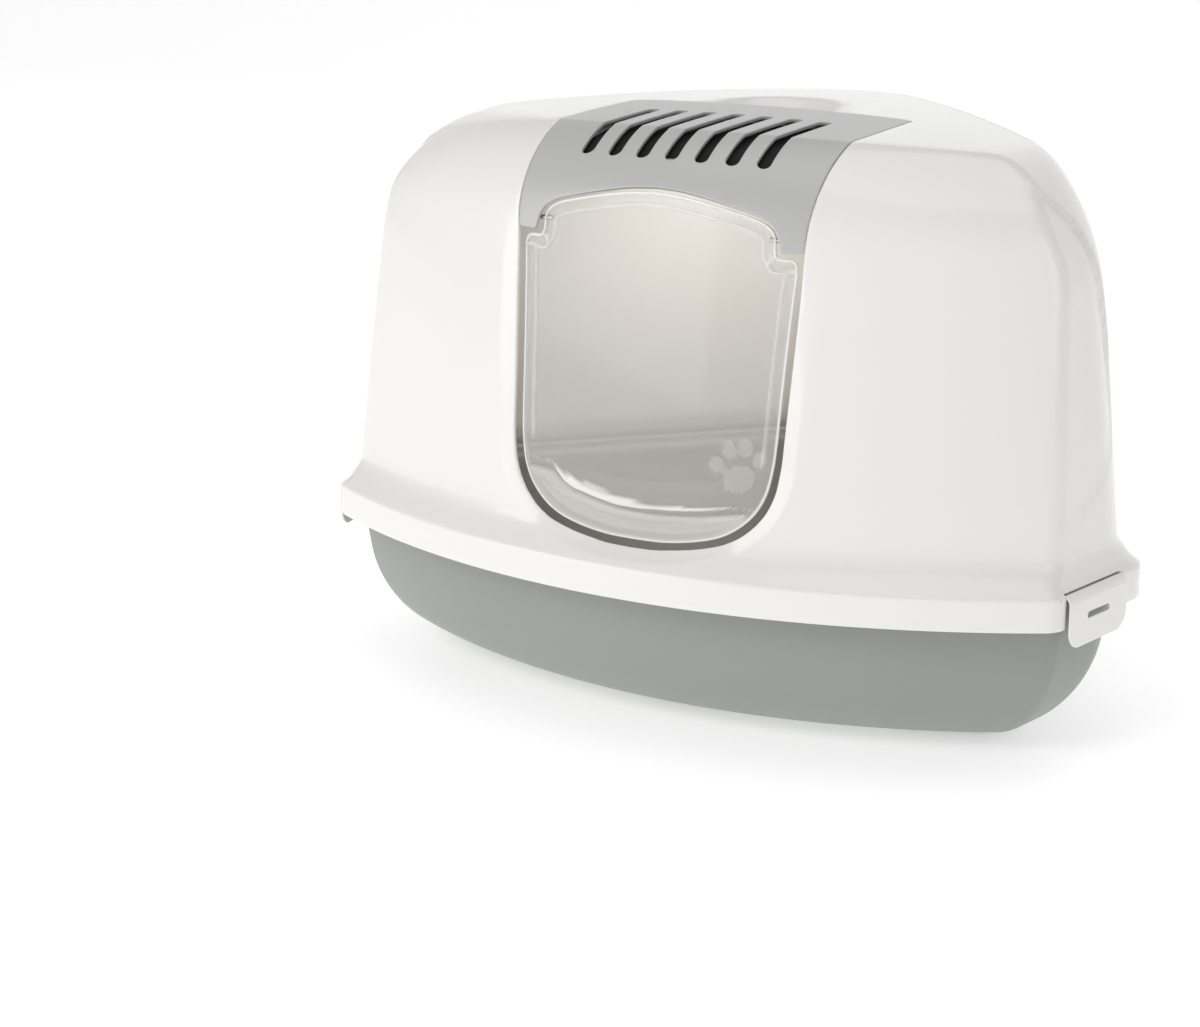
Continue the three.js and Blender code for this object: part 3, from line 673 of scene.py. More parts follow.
def clear_plastic():
    """Clear plastic: see-through on its flat field, denser along its rims and in its frosted relief, and
    near-white and opaque where painted highlights lie on the door's foot.
    """

    def build():
        settings = bpy.context.scene.litter_finish
        material, tree, shader = finish("clear_gloss", IOR=1.49, Coat_Weight=0.6, Coat_Roughness=0.03)
        density_and_highlight = add(tree, "ShaderNodeAttribute", attribute_name="density_and_highlight").outputs["Fac"]
        frost = add(tree, "ShaderNodeAttribute", attribute_name="frost").outputs["Fac"]
        skin = add(tree, "ShaderNodeGroup", node_tree=moulding_group())
        for key, value in (("Grain Scale", 900.0), ("Grain Height", 0.0), ("Wave Height", 0.04),
                           ("Roughness", 0.08), ("Variation", 0.04)):
            skin.inputs[key].default_value = value
        rough = add(tree, "ShaderNodeMath", {
            0: frost, 1: 0.35, 2: skin.outputs["Roughness"],
        }, operation="MULTIPLY_ADD")
        # The density attribute also carries painted highlights: where it is high, the tint goes near-white and
        # the alpha goes towards 0.95.
        tint = add(tree, "ShaderNodeMix", {
            "Factor": density_and_highlight, "A": (*settings.door, 1), "B": (0.93, 0.92, 0.89, 1),
        }, data_type="RGBA")
        clear = add(tree, "ShaderNodeMapRange", {
            "Value": density_and_highlight, "To Min": settings.door_alpha, "To Max": 0.95,
        })
        cloudy = add(tree, "ShaderNodeMath", {
            0: frost, 1: 0.11, 2: clear.outputs["Result"],
        }, operation="MULTIPLY_ADD")
        tree.links.new(tint.outputs["Result"], shader.inputs["Base Color"])
        tree.links.new(rough.outputs[0], shader.inputs["Roughness"])
        tree.links.new(cloudy.outputs[0], shader.inputs["Alpha"])
        tree.links.new(skin.outputs["Normal"], shader.inputs["Normal"])
        return material

    return once("clear_gloss", build)


def keep_node(name, material):
    """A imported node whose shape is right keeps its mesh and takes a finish."""
    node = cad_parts[name]
    node.data.materials.clear()
    node.data.materials.append(material)


# ---------- settings ----------


def colour(name, description, default):
    return FloatVectorProperty(
        name=name, description=description, subtype="COLOR", default=default, min=0, max=1,
    )


def length(name, description, default, least, most):
    """A length setting; its three numbers are in millimetres."""
    return FloatProperty(
        name=name, description=description, unit="LENGTH", default=default * MM, min=least * MM, max=most * MM,
    )


class LitterFinish(bpy.types.PropertyGroup):
    hood: colour("Hood", "Colour of the hood and its clips", (0.86, 0.85, 0.825))
    tray: colour("Tray", "Colour of the tray", (0.31, 0.325, 0.308))
    panel: colour("Panel", "Colour of the vent panel", (0.53, 0.53, 0.525))
    door: colour("Door", "Tint of the clear door", (0.8, 0.78, 0.745))
    door_alpha: FloatProperty(
        name="Door density", description="How much the door's flat field hides", subtype="FACTOR",
        default=0.22, min=0, max=1,
    )


class LitterHood(bpy.types.PropertyGroup):
    wall: length("Wall", "Thickness of the hood's wall", 3.0, 1, 6)
    rim: length("Rim", "Radius of the hood's edges", 0.9, 0, 1.4)
    grip_depth: length("Grip depth", "Depth of the grip recess behind the panel", 9.0, 0, 12)
    flank_depth: length(
        "Flank depth", "How far the flat of each side lies below the rear walls' surface", 3.0, 0, 4,
    )


class LitterPanel(bpy.types.PropertyGroup):
    gap: length("Gap", "Gap between the panel and its seat", 0.7, 0.3, 2)
    slots: IntProperty(name="Slots", description="Number of vent slots", default=7, min=1, max=9)
    pitch: length("Pitch", "Distance from slot to slot", 21.5, 10, 30)
    slot_width: length("Slot width", "Width of a slot", 9.6, 3, 12)


class LitterDoor(bpy.types.PropertyGroup):
    thickness: length("Thickness", "Thickness of the door", 2.2, 1, 4)
    setback: length("Set back", "How far the door stands behind the doorway's edge", 3.5, 1, 8)
    bead: length("Bead", "Height of the bead round the door", 0.9, 0, 2)


# ---------- pieces ----------


def hood_levels():
    """Heights of the hood's rings, close together where its section bends."""
    skirt = [100.3, 104, 112, 119, 120.2, 121, 121.6, 122.2, 122.9, 124, 125.4, 126.8, 128.2, 129.6, 131,
             132.4, 133.8, 135.4, 137.2, 139.4, 142, 145.5]
    wall = np.arange(150, SHOULDER_FOOT[0] - 1, 4.4)
    return np.concatenate([skirt, wall, shoulder_levels(27)])


def shoulder_levels(count):
    """Heights up the front shoulder, closer together towards its top."""
    foot, reach = SHOULDER_FOOT[0], SHOULDER_END.min() - SHOULDER_FOOT[0]
    turns = np.linspace(0, math.asin((SHOULDER_TOP - foot) / reach), count)
    return foot + reach * np.sin(turns)


def hood_skin(grip_depth, flank_depth):
    """The hood's outside as a grid of rings: skirt, walls, shoulder, and the crown drawn in to a point."""
    z = hood_levels()
    body = rings(hood_inset(z), hood_radii(z), z)
    shares = np.concatenate([np.linspace(1, 0.46, 10)[1:], np.linspace(0.46, 0.012, 24)[1:]])
    centre = np.append(CROWN_CENTRE, 0)
    crown = centre + (body[-1] - centre) * shares[:, None, None]
    crown[..., 2] = SHOULDER_TOP
    skin = domed(np.concatenate([body, crown]))
    x, y, z = skin[..., 0], skin[..., 1], skin[..., 2]

    oval = np.hypot(x / GRIP_HALF[0], (y - GRIP_MIDDLE) / GRIP_HALF[1])
    skin[..., 2] = z - grip_depth * (1 - smooth((oval - 0.7) / 0.3)) * (z > DOME_TOP - 12)

    inner = distance(x, z, both_halves(through(DOORWAY, 4)))
    outer = distance(x, z, both_halves(through(BEVEL, 4)))
    share = np.where(outer < 0, -outer / np.maximum(-outer + np.maximum(inner, 0), 1e-6), 0)
    share = share**2 * (1 + 0.12) / (share + 0.12)
    front = (y < -120) & (np.abs(x) < 135)
    fade = 1 - smooth((z - BEVEL_FADE[0]) / (BEVEL_FADE[1] - BEVEL_FADE[0]))
    drop = np.where(front, share * fade * np.maximum(0, door_plane(x, z) - y), 0)
    skin[..., 1] += drop

    flank = distance(y, z, FLANK)
    sideways = smooth((np.abs(x) - 190) / 20) * (np.abs(x) > 150)
    depth = flank_depth * (0.3 + 0.7 * smooth((z - 190) / 110)) * smooth((y + 145) / 50)
    skin[..., 0] -= np.sign(x) * depth * smooth(-flank / 2.6) * sideways
    return skin


# The flat of the hood's side, in Y and Z.
FLANK = np.array([
    (-170, 163), (-135, 162.5), (-118, 162.7), (-107, 164.3), (-97, 168), (-87, 174.4), (-78, 183.6),
    (-68.6, 192), (-62, 200), (-58, 215), (-57, 235), (-58, 255), (-60.5, 274), (-67, 293), (-72.6, 314),
    (-80.5, 333), (-87, 350), (-95, 366), (-108, 384), (-130, 395), (-170, 400),
])


def opening_field(points, rim):
    """How far outside the doorway and the panel's seat a point of the hood is, less the rim's radius."""
    x, y, z = points[..., 0], points[..., 1], points[..., 2]
    outline = both_halves(through(DOORWAY, 6))
    doorway = np.where((y < SEAT_FRONT) & (np.abs(x) < 150), distance(x, z, outline), 99.0)
    seat = np.maximum(np.abs(x) - seat_half(y), y - SEAT_REAR)
    seat = np.where((z > 366) & (y > -160), seat, 99.0)
    return np.minimum(doorway, seat) - rim


class LITTERBOX_OT_hood(bpy.types.Operator):
    """Build the hood: skirt band, flange, bevelled doorway, shoulder, crown and grip recess"""

    bl_idname = "litterbox.hood"
    bl_label = "Hood"

    def execute(self, context):
        size = context.scene.litter_hood
        skin = hood_skin(size.grip_depth / MM, size.flank_depth / MM)
        rim = size.rim / MM
        keep = opening_field(skin, rim)
        side = clip_distance(skin, CLIP_HALF + NOTCH_SIDE_GAP, CLIP_TOP + NOTCH_TOP_GAP)
        keep = np.minimum(keep, side)
        vertices, faces = trim(skin, keep, wrap=True)
        vertices, faces = close_end(vertices, faces, skin[-1])
        vertices, faces = shell(vertices, faces, size.wall / MM, rim)
        piece = make("hood", vertices, faces, [white_plastic()], "hood")
        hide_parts("hood_shell")
        for name in ("panel_pin_left", "panel_pin_right", "clip_pin_left", "clip_pin_right"):
            keep_node(name, steel_wire())
        return {"FINISHED"}


# The clip on each side face: half its width, its middle's distance along the face, its heights and corners;
# then its section: how far out its plate stands, the height of the roll at its top, and the barrel round the
# pin.
CLIP_HALF = 34.0
CLIP_ALONG = 43.0
CLIP_BOTTOM = 86.0
CLIP_TOP = 121.4
CLIP_CORNER = 12.0
CLIP_OUT = 3.6
CLIP_ROLL = 6.4
CLIP_PIN_OUT = -1.5
CLIP_BARREL = 1.9
CLIP_WALL = 1.7
CLIP_SLOT_HALF = 11.0
CLIP_SLOT_Z = 105.0
CLIP_SLOT_RADIUS = 2.0
NOTCH_SIDE_GAP = 0.7
NOTCH_TOP_GAP = 2.2


def side_coordinates(points):
    """A point seen from the nearer side face: along it from the clip's middle, and out from it."""
    run = heading(SIDE_ANGLE)
    middle = SIDE_FRONT + run * CLIP_ALONG
    x = np.abs(points[..., 0]) - middle[0]
    y = points[..., 1] - middle[1]
    return x * run[0] + y * run[1], x * run[1] - y * run[0]


def clip_distance(points, half, top):
    """How far outside the clip's notch in the band a point is."""
    along, out = side_coordinates(points)
    notch = np.maximum(np.abs(along) - half, points[..., 2] - top)
    return np.where(out > -12, notch, 99.0)


class LITTERBOX_OT_tray(bpy.types.Operator):
    """Build the tray: flat floor, rounded flanks and the lip that the hood stands on"""

    bl_idname = "litterbox.tray"
    bl_label = "Tray"

    def execute(self, context):
        turns = np.linspace(math.pi / 2, 0, 26)
        z = TRAY_CURVE_TOP - (TRAY_CURVE_TOP - TRAY_UNDER) * np.sin(turns)
        z = np.concatenate([z, np.linspace(TRAY_CURVE_TOP, 112, 9)[1:]])
        t = np.clip((TRAY_CURVE_TOP - z) / (TRAY_CURVE_TOP - TRAY_UNDER), 0, 1)[:, None]
        bend = 1 - np.sqrt(1 - t**2)
        inset = TRAY_BASE + TRAY_LEAN * np.maximum(0, BAND_BOTTOM - z)[:, None] + TRAY_REACH * bend
        radii = TRAY_RADII * (1 - TRAY_RADII_LOSS * bend)
        body = rings(inset, radii, z)
        top_inset, top_radii = inset[-1], radii[-1]
        lip = []
        for share, height in ((0.04, 113.0), (0.15, 113.8), (0.35, 114.0), (0.7, 114.0), (0.97, 114.0)):
            lip_inset = top_inset + (LIP_INSET - top_inset) * share
            lip_radii = top_radii + (BAND_RADII - top_radii) * share
            lip.append(rings(lip_inset, lip_radii, [height]))
        middle = np.array([0, -30, TRAY_UNDER])
        floor = middle + (body[:1] - middle) * np.array([0.02, 0.2, 0.4, 0.6, 0.8, 0.94])[:, None, None]
        skin = np.concatenate([floor, body, *lip])
        rows, cols = skin.shape[:2]
        vertices = skin.reshape(-1, 3)
        faces = [grid_faces(rows, cols, wrap=True)]
        vertices = np.vstack([vertices, middle])
        faces.append(fan(np.arange(cols), len(vertices) - 1))
        vertices, faces = shell(vertices, faces, 3.0, 0.6)
        piece = make("tray_moulding", vertices, faces, [grey_plastic()], "base")
        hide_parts("tray")
        return {"FINISHED"}


# Where each foot pad stands, X and Y, and which way it points in degrees; a pad's size; and its section,
# how far each ring stands out from the end's radius, and its height.
PADS = ((0, -128, 0), (176, -92, 22), (-176, -92, -22), (86, 28, 135), (-86, 28, -135), (0, 86, 0))
PAD_RADIUS = 6.5
PAD_STRAIGHT = 24.5
PAD_SECTION = (
    (-5.6, 0.3), (-3, 0.1), (-1.2, 0.0), (-0.4, 0.3), (0, 1.1), (0, 3.9), (-0.5, 4.4), (-5.6, 4.4),
)


class LITTERBOX_OT_feet(bpy.types.Operator):
    """Build the foot pads: long rounded pads with a soft lower edge"""

    bl_idname = "litterbox.feet"
    bl_label = "Foot pads"

    def execute(self, context):
        turns = np.linspace(0, 2 * math.pi, 65)[:-1]
        for number, (x, y, angle) in enumerate(PADS, 1):
            rows = []
            for grow, z in PAD_SECTION:
                across = (PAD_RADIUS + grow) * np.cos(turns)
                across += np.where(np.cos(turns) >= 0, PAD_STRAIGHT, -PAD_STRAIGHT)
                up = (PAD_RADIUS + grow) * np.sin(turns)
                rows.append(np.stack([across, up, np.full(64, z)], 1))
            pad = np.array(rows)
            c, s = heading(math.radians(angle))
            turned_x = x + pad[..., 0] * c - pad[..., 1] * s
            turned_y = y + pad[..., 0] * s + pad[..., 1] * c
            vertices = np.stack([turned_x, turned_y, pad[..., 2]], -1).reshape(-1, 3)
            faces = [grid_faces(len(pad), 64, wrap=True)]
            vertices, faces = cap_ends(vertices, faces, len(pad), 64)
            piece = make(f"foot_{number}", vertices, faces, [foot_rubber()], "base")
            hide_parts(f"foot_pad_{number}")
        return {"FINISHED"}


# Right half of the arch that the panel leaves for the door, in X and Z; the panel's lowest edge; and the Y
# of the slots' rear and front ends.
ARCH = np.array([
    (89.2, 300), (89.2, 328), (88.7, 333), (87, 338.6), (83.6, 343.4), (77, 347.8), (64.6, 351.7),
    (40.5, 356.9), (20.3, 360.3), (0, 361.7),
])
PANEL_BOTTOM = 328.0
SLOT_REAR = -60.0
SLOT_FRONT = -160.0


class LITTERBOX_OT_panel(bpy.types.Operator):
    """Build the vent panel: it follows the hood over the shoulder, with seven slots and the door's arch"""

    bl_idname = "litterbox.panel"
    bl_label = "Vent panel"

    def execute(self, context):
        size = context.scene.litter_panel
        radius = 0.6
        gap = size.gap / MM + radius
        x = np.linspace(-112, 112, 151)
        z = np.concatenate([np.linspace(325, SHOULDER_FOOT[0], 8)[:-1], shoulder_levels(56)])
        across, height = np.meshgrid(x, z)
        front = np.stack([across, front_face(across, height), height], -1)
        edge = front[-1, :, 1]
        along = np.linspace(0, 1, 54)[1:, None]
        y = edge + (SEAT_REAR + 3 - edge) * along
        across = np.broadcast_to(x, y.shape)
        crown = np.stack([across, y, np.full(y.shape, SHOULDER_TOP)], -1)
        skin = domed(np.concatenate([front, crown]))
        px, py, pz = skin[..., 0], skin[..., 1], skin[..., 2]

        half = np.where(py < SEAT_FRONT, np.interp(pz, DOORWAY[:, 1], DOORWAY[:, 0]), seat_half(py))
        keep = half - gap - np.abs(px)
        keep = np.minimum(keep, SEAT_REAR - gap - 0.5 - py)
        keep = np.minimum(keep, pz - PANEL_BOTTOM - radius)
        arch = both_halves(np.vstack([[0, 300], through(ARCH, 5)]))
        keep = np.minimum(keep, np.where(py < -150, distance(px, pz, arch), 99.0) - radius)
        pitch, width = size.pitch / MM, size.slot_width / MM
        run = np.linalg.norm(np.diff(skin, axis=0), axis=2)
        run = np.vstack([np.zeros(len(x)), np.cumsum(run, axis=0)])
        for k in range(size.slots):
            middle = (k - (size.slots - 1) / 2) * pitch
            ends = (SLOT_FRONT + middle**2 / FACE_BOW, SLOT_REAR)
            low, high = np.array([np.interp(ends, py[:, c], run[:, c]) for c in range(len(x))]).T
            beyond = np.maximum(low + width / 2 - run, run - high + width / 2)
            slot = np.hypot(px - middle, np.maximum(beyond, 0)) - width / 2
            keep = np.minimum(keep, slot - radius)
        vertices, faces = trim(skin, keep)
        vertices, faces = shell(vertices, faces, 2.6, radius)
        piece = make("panel", vertices, faces, [silver_plastic()], "vent_lid")
        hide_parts("vent_panel")
        return {"FINISHED"}


# The foam's outline, its depth under the panel's surface and half its thickness; how square its corners
# are; and its frame's section, how far outside the foam and how far under the surface.
FOAM_HALF = np.array([75.0, 50.5])
FOAM_MIDDLE = np.array([0.0, -105.5])
FOAM_DROP = 10.0
FOAM_THICK = 4.5
FOAM_POWER = 0.18
FRAME_SECTION = (
    (0.4, 14.4), (0.8, 14.8), (2.0, 14.8), (2.4, 14.4), (2.4, 2.5), (0.4, 2.5), (0.4, 14.4),
)


def roof(x, y):
    """Height of the shoulder and the crown over a place near the middle line."""
    level = shoulder_levels(56)
    z = np.interp(y - x**2 / 900, front_face(np.zeros(56), level), level)
    return domed(np.stack([x, y, z], -1))[..., 2]


def round_box(grow, count=120):
    """An outline with round corners: the foam's, grown by a margin."""
    turns = np.linspace(-math.pi, math.pi, count + 1)[:-1]
    corner = np.stack([spow(np.cos(turns), FOAM_POWER), spow(np.sin(turns), FOAM_POWER)], 1)
    return corner * (FOAM_HALF + grow)


class LITTERBOX_OT_filter(bpy.types.Operator):
    """Build the carbon filter, a pad of open foam that follows the panel, and the frame that holds it"""

    bl_idname = "litterbox.filter"
    bl_label = "Carbon filter"

    def execute(self, context):
        rise = np.linspace(-math.pi / 2, math.pi / 2, 33)
        flat, up = spow(np.cos(rise), FOAM_POWER), spow(np.sin(rise), FOAM_POWER)
        flat[[0, -1]] = 0.3
        plan = FOAM_MIDDLE + flat[:, None, None] * round_box(0)
        height = roof(plan[..., 0], plan[..., 1]) - FOAM_DROP + FOAM_THICK * up[:, None]
        vertices = np.concatenate([plan, height[..., None]], 2).reshape(-1, 3)
        vertices, faces = cap_ends(vertices, [grid_faces(33, 120, wrap=True)], 33, 120)
        piece = make("filter_foam", vertices, faces, [carbon_foam()], "filter")
        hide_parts("carbon_filter")

        section = []
        for grow, drop in FRAME_SECTION:
            plan = FOAM_MIDDLE + round_box(grow)
            section.append(np.column_stack([plan, roof(plan[:, 0], plan[:, 1]) - drop]))
        vertices = np.concatenate(section[:-1])
        index = grid_faces(len(section), 120, wrap=True) % len(vertices)
        piece = make("filter_frame", vertices, [index], [silver_plastic()], "vent_lid")
        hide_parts("filter_holder")
        return {"FINISHED"}


# Right half of the door's outline, and the middle line of the hooked rib under its shoulder, in X and Z.
DOOR = np.array([
    (0, 134.6), (20, 135), (38, 137.2), (55, 141), (68, 146.6), (79, 155.2), (86.6, 165), (91.2, 176),
    (93.8, 190), (95, 205), (96.6, 245), (98, 275), (99.4, 300), (100.4, 314), (100.2, 319), (98.2, 322.6),
    (94.5, 323.7), (89.5, 323.7), (86.6, 325), (85.4, 328.5), (85.2, 333), (84.6, 337.5), (82, 341.6),
    (76, 345.6), (64, 349.4), (40, 354.6), (20, 358), (0, 359.4),
])
HOOK = np.array([
    (99, 316.5), (93, 316.2), (88, 315.2), (83.5, 315.6), (81, 319), (83, 323), (86, 325),
])


def door_relief(x, z, bead):
    """How far the door's face stands out: a bead at its edge, a second ridge inside it, a hooked rib under
    each shoulder, and a roll over the scooped foot."""
    outline = both_halves(through(DOOR, 6))
    depth = -distance(x, z, outline)
    scoop = 151.8 + 0.0026 * x**2
    lift = bead * (1 - smooth((depth - 1.3) / 1.3))
    lift += 0.55 * np.exp(-(((depth - 8.6) / 1.2) ** 2)) * smooth((z - scoop - 22) / 12)
    lift += 0.8 * np.exp(-((near_path(np.abs(x), z, through(HOOK, 5)) / 1.3) ** 2))
    lift += 2.4 * np.exp(-(((z - scoop - 8) / 6.5) ** 2)) * smooth((84 - np.abs(x)) / 20)
    lift -= 2.2 * smooth((scoop - z) / 7) * smooth((depth - 2) / 5)
    return lift


# Middle lines of the painted highlight bands on the door's foot, in X and Z, with half widths: a painted
# highlight along the roll, and a painted reflection on the step under it.
PAINTED_ROLL_HIGHLIGHT = np.array([
    (-65.4, 175.7, 0.2), (-57.9, 169.3, 1.8), (-50.1, 165, 2.7), (-39.8, 163, 2.9), (-26.4, 160.3, 2.9),
    (-13.3, 158.3, 2.6), (-0.6, 157.4, 2.0), (11.8, 157.4, 1.3), (29.8, 158.3, 1.0), (47.3, 160, 0.8),
    (66.6, 162.9, 0.2),
])
PAINTED_STEP_REFLECTION = np.array([
    (-74, 166, 0.6), (-68.5, 159.8, 1.2), (-55.6, 156.3, 1.9), (-39.1, 153.4, 2.1), (-19.2, 150.3, 2.1),
    (0, 149.8, 2.1), (18.4, 150.1, 2.0), (42.1, 152, 2.0), (64.9, 155.2, 1.6), (75.8, 158.5, 0.4),
])


def band(x, z, path):
    """1 on a band and 0 off it: across at each X, from the band's middle line, over its half width."""
    path = through(path, 6)
    middle = np.interp(x, path[:, 0], path[:, 1])
    half = np.interp(x, path[:, 0], path[:, 2], left=0.05, right=0.05)
    return 1 - smooth((np.abs(z - middle) - half + 0.4) / 0.8)


def painted_foot_highlights(x, z):
    """How dense and white the door's foot is painted: a painted highlight along the roll, a painted reflection
    on the step, and a fainter painted sheen from there to the edge.
    """
    haze = 0.3 * smooth((np.interp(x, PAINTED_ROLL_HIGHLIGHT[:, 0], PAINTED_ROLL_HIGHLIGHT[:, 1]) - 4 - z) / 3)
    return np.maximum(np.maximum(0.8 * band(x, z, PAINTED_ROLL_HIGHLIGHT), 0.42 * band(x, z, PAINTED_STEP_REFLECTION)), haze)


def paw(x, z):
    """A plain paw print: one round pad and four ovals, as the least of their scaled distances."""
    shapes = [(71, 182, 10.5, 9.0, 0.3), (55.5, 190, 4.6, 6.2, 0.7), (63, 200.5, 4.8, 6.6, 0.3),
              (74, 202.5, 4.8, 6.4, -0.1), (84, 196, 4.2, 5.8, -0.5)]
    best = np.full(np.shape(x), 9.0)
    for cx, cz, wide, tall, lean in shapes:
        dx, dz = x - cx, z - cz
        u = dx * math.cos(lean) + dz * math.sin(lean)
        v = dz * math.cos(lean) - dx * math.sin(lean)
        best = np.minimum(best, (np.hypot(u / wide, v / tall) - 1) * wide)
    return best


class LITTERBOX_OT_door(bpy.types.Operator):
    """Build the clear swing door: beaded edge, ribs, scooped foot with painted highlights, a paw print and its
    pivots
    """

    bl_idname = "litterbox.door"
    bl_label = "Swing door"

    def execute(self, context):
        size = context.scene.litter_door
        radius = 0.7
        outline = both_halves(through(DOOR, 5))
        centre = np.array([0, 245.0])
        shares = np.concatenate([np.linspace(0.004, 0.8, 34), np.linspace(0.8, 0.994, 27)[1:]])
        flat = centre + (outline - centre) * shares[:, None, None]
        x, z = flat[..., 0], flat[..., 1]
        lift = door_relief(x, z, size.bead / MM) + 0.3 * (1 - smooth((paw(x, z) + 0.4) / 0.8))
        y = door_plane(x, z) + size.setback / MM - lift
        skin = np.stack([x, y, z], -1)
        rows, cols = x.shape
        vertices = np.vstack([skin.reshape(-1, 3), [skin[0, :, 0].mean(), skin[0, :, 1].mean(), centre[1]]])
        faces = [f[:, ::-1] for f in (grid_faces(rows, cols, wrap=True), fan(np.arange(cols), rows * cols))]
        vertices, faces = shell(vertices, faces, size.thickness / MM, radius)
        px, pz = vertices[:, 0], vertices[:, 2]
        edge = -distance(px, pz, outline)
        density_and_highlight = 0.9 * (1 - smooth((edge - 0.6) / 1.6))
        density_and_highlight += 0.28 * np.exp(-(((edge - 8.6) / 1.0) ** 2)) * smooth((pz - 185) / 12)
        hook = near_path(np.abs(px), pz, through(HOOK, 5))
        density_and_highlight = np.maximum(density_and_highlight, 0.45 * np.exp(-((hook / 1.2) ** 2)))
        # Painted highlights: the bands on the foot make the door white and opaque there, in place of the
        # lamps' reflection on the roll and the step.
        density_and_highlight = np.maximum(density_and_highlight, painted_foot_highlights(px, pz))
        frost = 1 - smooth((paw(px, pz) + 0.3) / 0.6)
        piece = make(
            "door", vertices, faces, [clear_plastic()], "door",
            attributes={"density_and_highlight": np.clip(density_and_highlight, 0, 1), "frost": frost},
        )
        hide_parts("door_flap")
        for name in ("door_pin_left", "door_pin_right"):
            keep_node(name, steel_wire())
        return {"FINISHED"}


class LITTERBOX_OT_clips(bpy.types.Operator):
    """Build the two side clips: a plate with round lower corners, a slot and a rolled top"""

    bl_idname = "litterbox.clips"
    bl_label = "Side clips"

    def execute(self, context):
        radius = 0.8
        s = np.linspace(-CLIP_HALF - 1, CLIP_HALF + 1, 71)
        z = np.linspace(CLIP_BOTTOM - 1, CLIP_TOP - CLIP_ROLL, 40)
        bend = np.linspace(0, math.pi / 2, 13)[1:]
        barrel = np.linspace(0, 2.4, 10)
        height = np.concatenate([
            z, CLIP_TOP - CLIP_ROLL * (1 - np.sin(bend)), CLIP_TOP - CLIP_BARREL * (1 - np.cos(barrel)),
        ])
        out = np.concatenate([
            np.full(40, CLIP_OUT), CLIP_PIN_OUT + (CLIP_OUT - CLIP_PIN_OUT) * np.cos(bend),
            CLIP_PIN_OUT - CLIP_BARREL * np.sin(barrel),
        ])
        along, height = np.meshgrid(s, height)
        out = np.broadcast_to(out[:, None], along.shape)
        corner = np.hypot(
            np.maximum(np.abs(along) - CLIP_HALF + CLIP_CORNER, 0),
            np.maximum(CLIP_BOTTOM + CLIP_CORNER - height, 0),
        )
        keep = np.minimum(CLIP_HALF - np.abs(along), CLIP_CORNER - corner)
        beyond = np.maximum(np.abs(along) - CLIP_SLOT_HALF, 0)
        slot = np.hypot(beyond, height - CLIP_SLOT_Z) - CLIP_SLOT_RADIUS
        slot = np.where(out > 0, slot, 99.0)
        keep = np.minimum(keep - radius, slot - radius)
        run, away = heading(SIDE_ANGLE), heading(SIDE_ANGLE - math.pi / 2)
        middle = SIDE_FRONT + run * CLIP_ALONG
        plan = middle + along[..., None] * run + out[..., None] * away
        skin = np.concatenate([plan, height[..., None]], 2)
        vertices, faces = trim(skin, keep)
        vertices, faces = shell(vertices, faces, CLIP_WALL, radius)
        for word, side in (("right", 1), ("left", -1)):
            placed = vertices * [side, 1, 1]
            turned = faces if side > 0 else [f[:, ::-1] for f in faces]
            piece = make(
                f"side_clip_{word}", placed, turned, [white_plastic()], f"{word}_clip",
            )
            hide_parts(f"clip_{word}")
        return {"FINISHED"}


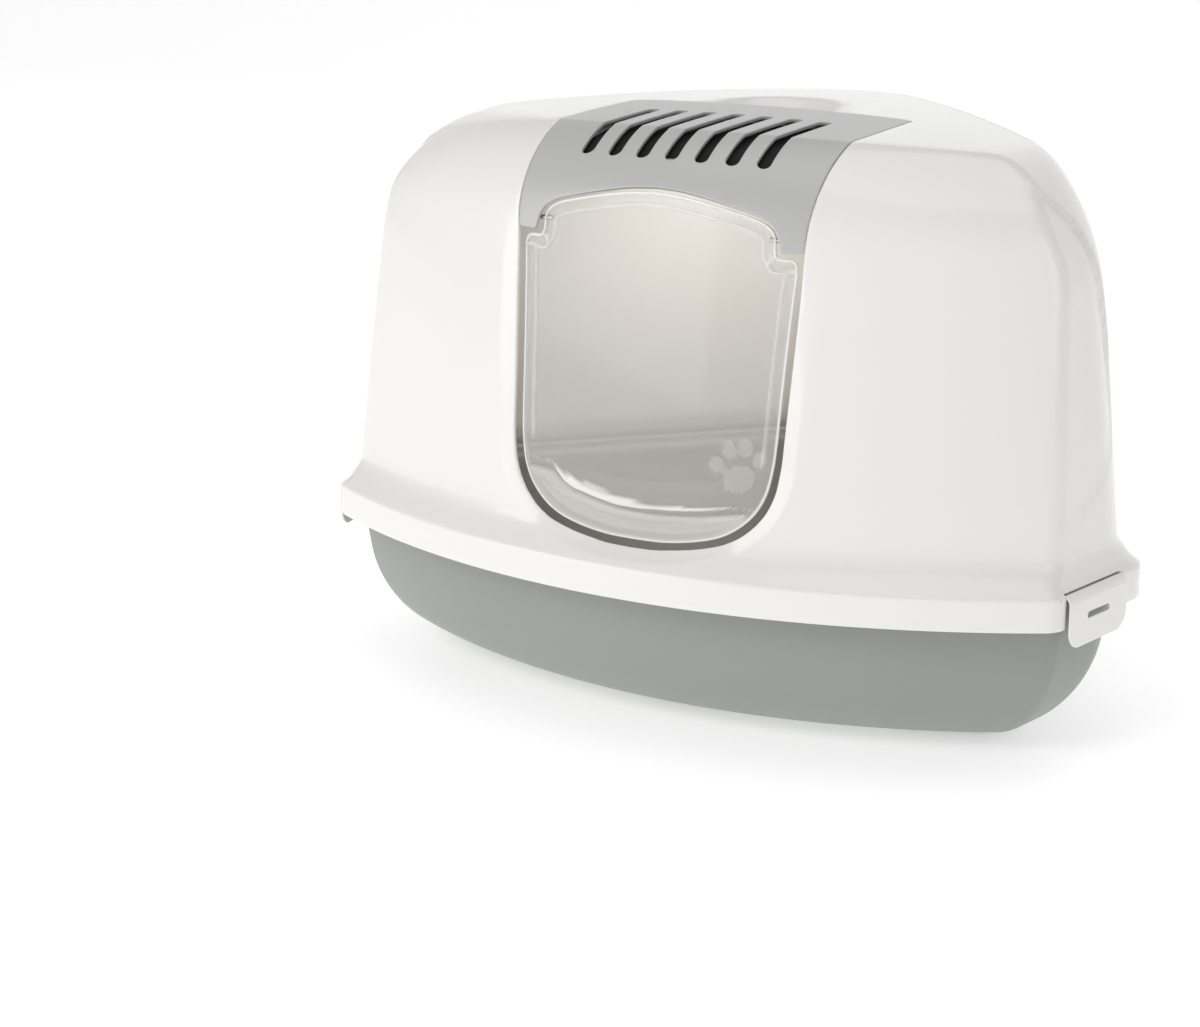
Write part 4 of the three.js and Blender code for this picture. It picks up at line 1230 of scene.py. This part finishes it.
class LITTERBOX_OT_stage(bpy.types.Operator):
    """Set the pale floor and backdrop, the studio lights and the camera"""

    bl_idname = "litterbox.stage"
    bl_label = "Stage"

    def execute(self, context):
        scene = context.scene
        profile = through(np.array([
            (-6000, 0), (-2000, 0), (1500, 0), (2600, 10), (3500, 500), (3900, 1600), (4000, 3200),
        ]), 10)
        x = np.linspace(-6000, 6000, 41)
        sheet = np.stack([
            np.broadcast_to(x, (len(profile), 41)),
            np.broadcast_to(profile[:, :1], (len(profile), 41)),
            np.broadcast_to(profile[:, 1:], (len(profile), 41)),
        ], -1)
        material, _, _ = finish(
            "floor_white", Roughness=0.55, Base_Color=(0.9, 0.9, 0.9, 1), Emission_Strength=0.42,
            Emission_Color=(1, 1, 1, 1),
        )
        floor = make("floor", sheet.reshape(-1, 3), [grid_faces(len(profile), 41)], [material])
        world = bpy.data.worlds.new("studio") if scene.world is None else scene.world
        scene.world = world
        world.use_nodes = True
        world.node_tree.nodes["Background"].inputs["Color"].default_value = (1, 1, 1, 1)
        world.node_tree.nodes["Background"].inputs["Strength"].default_value = 0.4
        for name, place, aim, size, power, tint in (
            ("key", (-1.8, -2.6, 1.2), (0, 0, 0.25), (2.4, 2.2), 29, (1, 0.995, 0.985)),
            ("fill", (2.4, -1.2, 1.2), (0, 0, 0.25), (1.2, 1.8), 5.5, (0.97, 0.985, 1)),
            ("window", (-0.5, -2.4, 2.2), (0, 0, 0.3), (1.4, 1.0), 13, (1, 1, 1)),
            ("top", (0.1, 0.2, 2.8), (0, 0, 0.3), (2.4, 2.4), 14, (1, 1, 1)),
            ("inside", (0, -0.01, 0.362), (0, 0.05, 0), (0.18, 0.1), 0.42, (1, 0.95, 0.89)),
        ):
            data = bpy.data.lights.new(name, "AREA")
            data.shape, data.size, data.size_y = "RECTANGLE", *size
            data.energy, data.color = power, tint
            lamp = bpy.data.objects.new(name, data)
            scene.collection.objects.link(lamp)
            lamp.location = place
            # The window's light has a hard edge that would show as a line across the gloss of the shoulder.
            lamp.visible_glossy = name != "window"
            lamp.rotation_euler = (Vector(aim) - Vector(place)).to_track_quat("-Z", "Y").to_euler()
        data = bpy.data.cameras.new("camera")
        data.lens, data.sensor_width, data.sensor_fit = 82.81, 36.0, "HORIZONTAL"
        data.clip_end = 50
        camera = bpy.data.objects.new("camera", data)
        scene.collection.objects.link(camera)
        camera.location = (0.8505, -1.7131, 0.6502)
        camera.rotation_euler = Vector((-0.48258, 0.83103, -0.2766)).to_track_quat("-Z", "Y").to_euler()
        scene.camera = camera
        scene.view_settings.view_transform = "Standard"
        return {"FINISHED"}


class LITTERBOX_PT_sidebar(bpy.types.Panel):
    """Lists the settings and the pieces"""

    bl_label = "Litter Box"
    bl_idname = "LITTERBOX_PT_sidebar"
    bl_space_type = "VIEW_3D"
    bl_region_type = "UI"
    bl_category = "Litter Box"

    def draw(self, context):
        for key, group in SETTINGS.items():
            settings = getattr(context.scene, key)
            for field in group.__annotations__:
                self.layout.prop(settings, field)
        for operator in PIECES:
            self.layout.operator(operator.bl_idname)


SETTINGS = {
    "litter_finish": LitterFinish,
    "litter_hood": LitterHood,
    "litter_panel": LitterPanel,
    "litter_door": LitterDoor,
}
PIECES = (
    LITTERBOX_OT_stage, LITTERBOX_OT_tray, LITTERBOX_OT_feet, LITTERBOX_OT_hood, LITTERBOX_OT_panel,
    LITTERBOX_OT_filter, LITTERBOX_OT_door, LITTERBOX_OT_clips,
)


def register():
    for item in (*SETTINGS.values(), *PIECES, LITTERBOX_PT_sidebar):
        bpy.utils.register_class(item)
    for key, group in SETTINGS.items():
        setattr(bpy.types.Scene, key, PointerProperty(type=group))


def unregister():
    for key in SETTINGS:
        delattr(bpy.types.Scene, key)
    for item in reversed((*SETTINGS.values(), *PIECES, LITTERBOX_PT_sidebar)):
        bpy.utils.unregister_class(item)


def main():
    """Registers the add-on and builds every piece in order."""
    register()
    for operator in PIECES:
        getattr(bpy.ops.litterbox, operator.bl_idname.split(".")[1])()


if __name__ == "__main__":
    main()
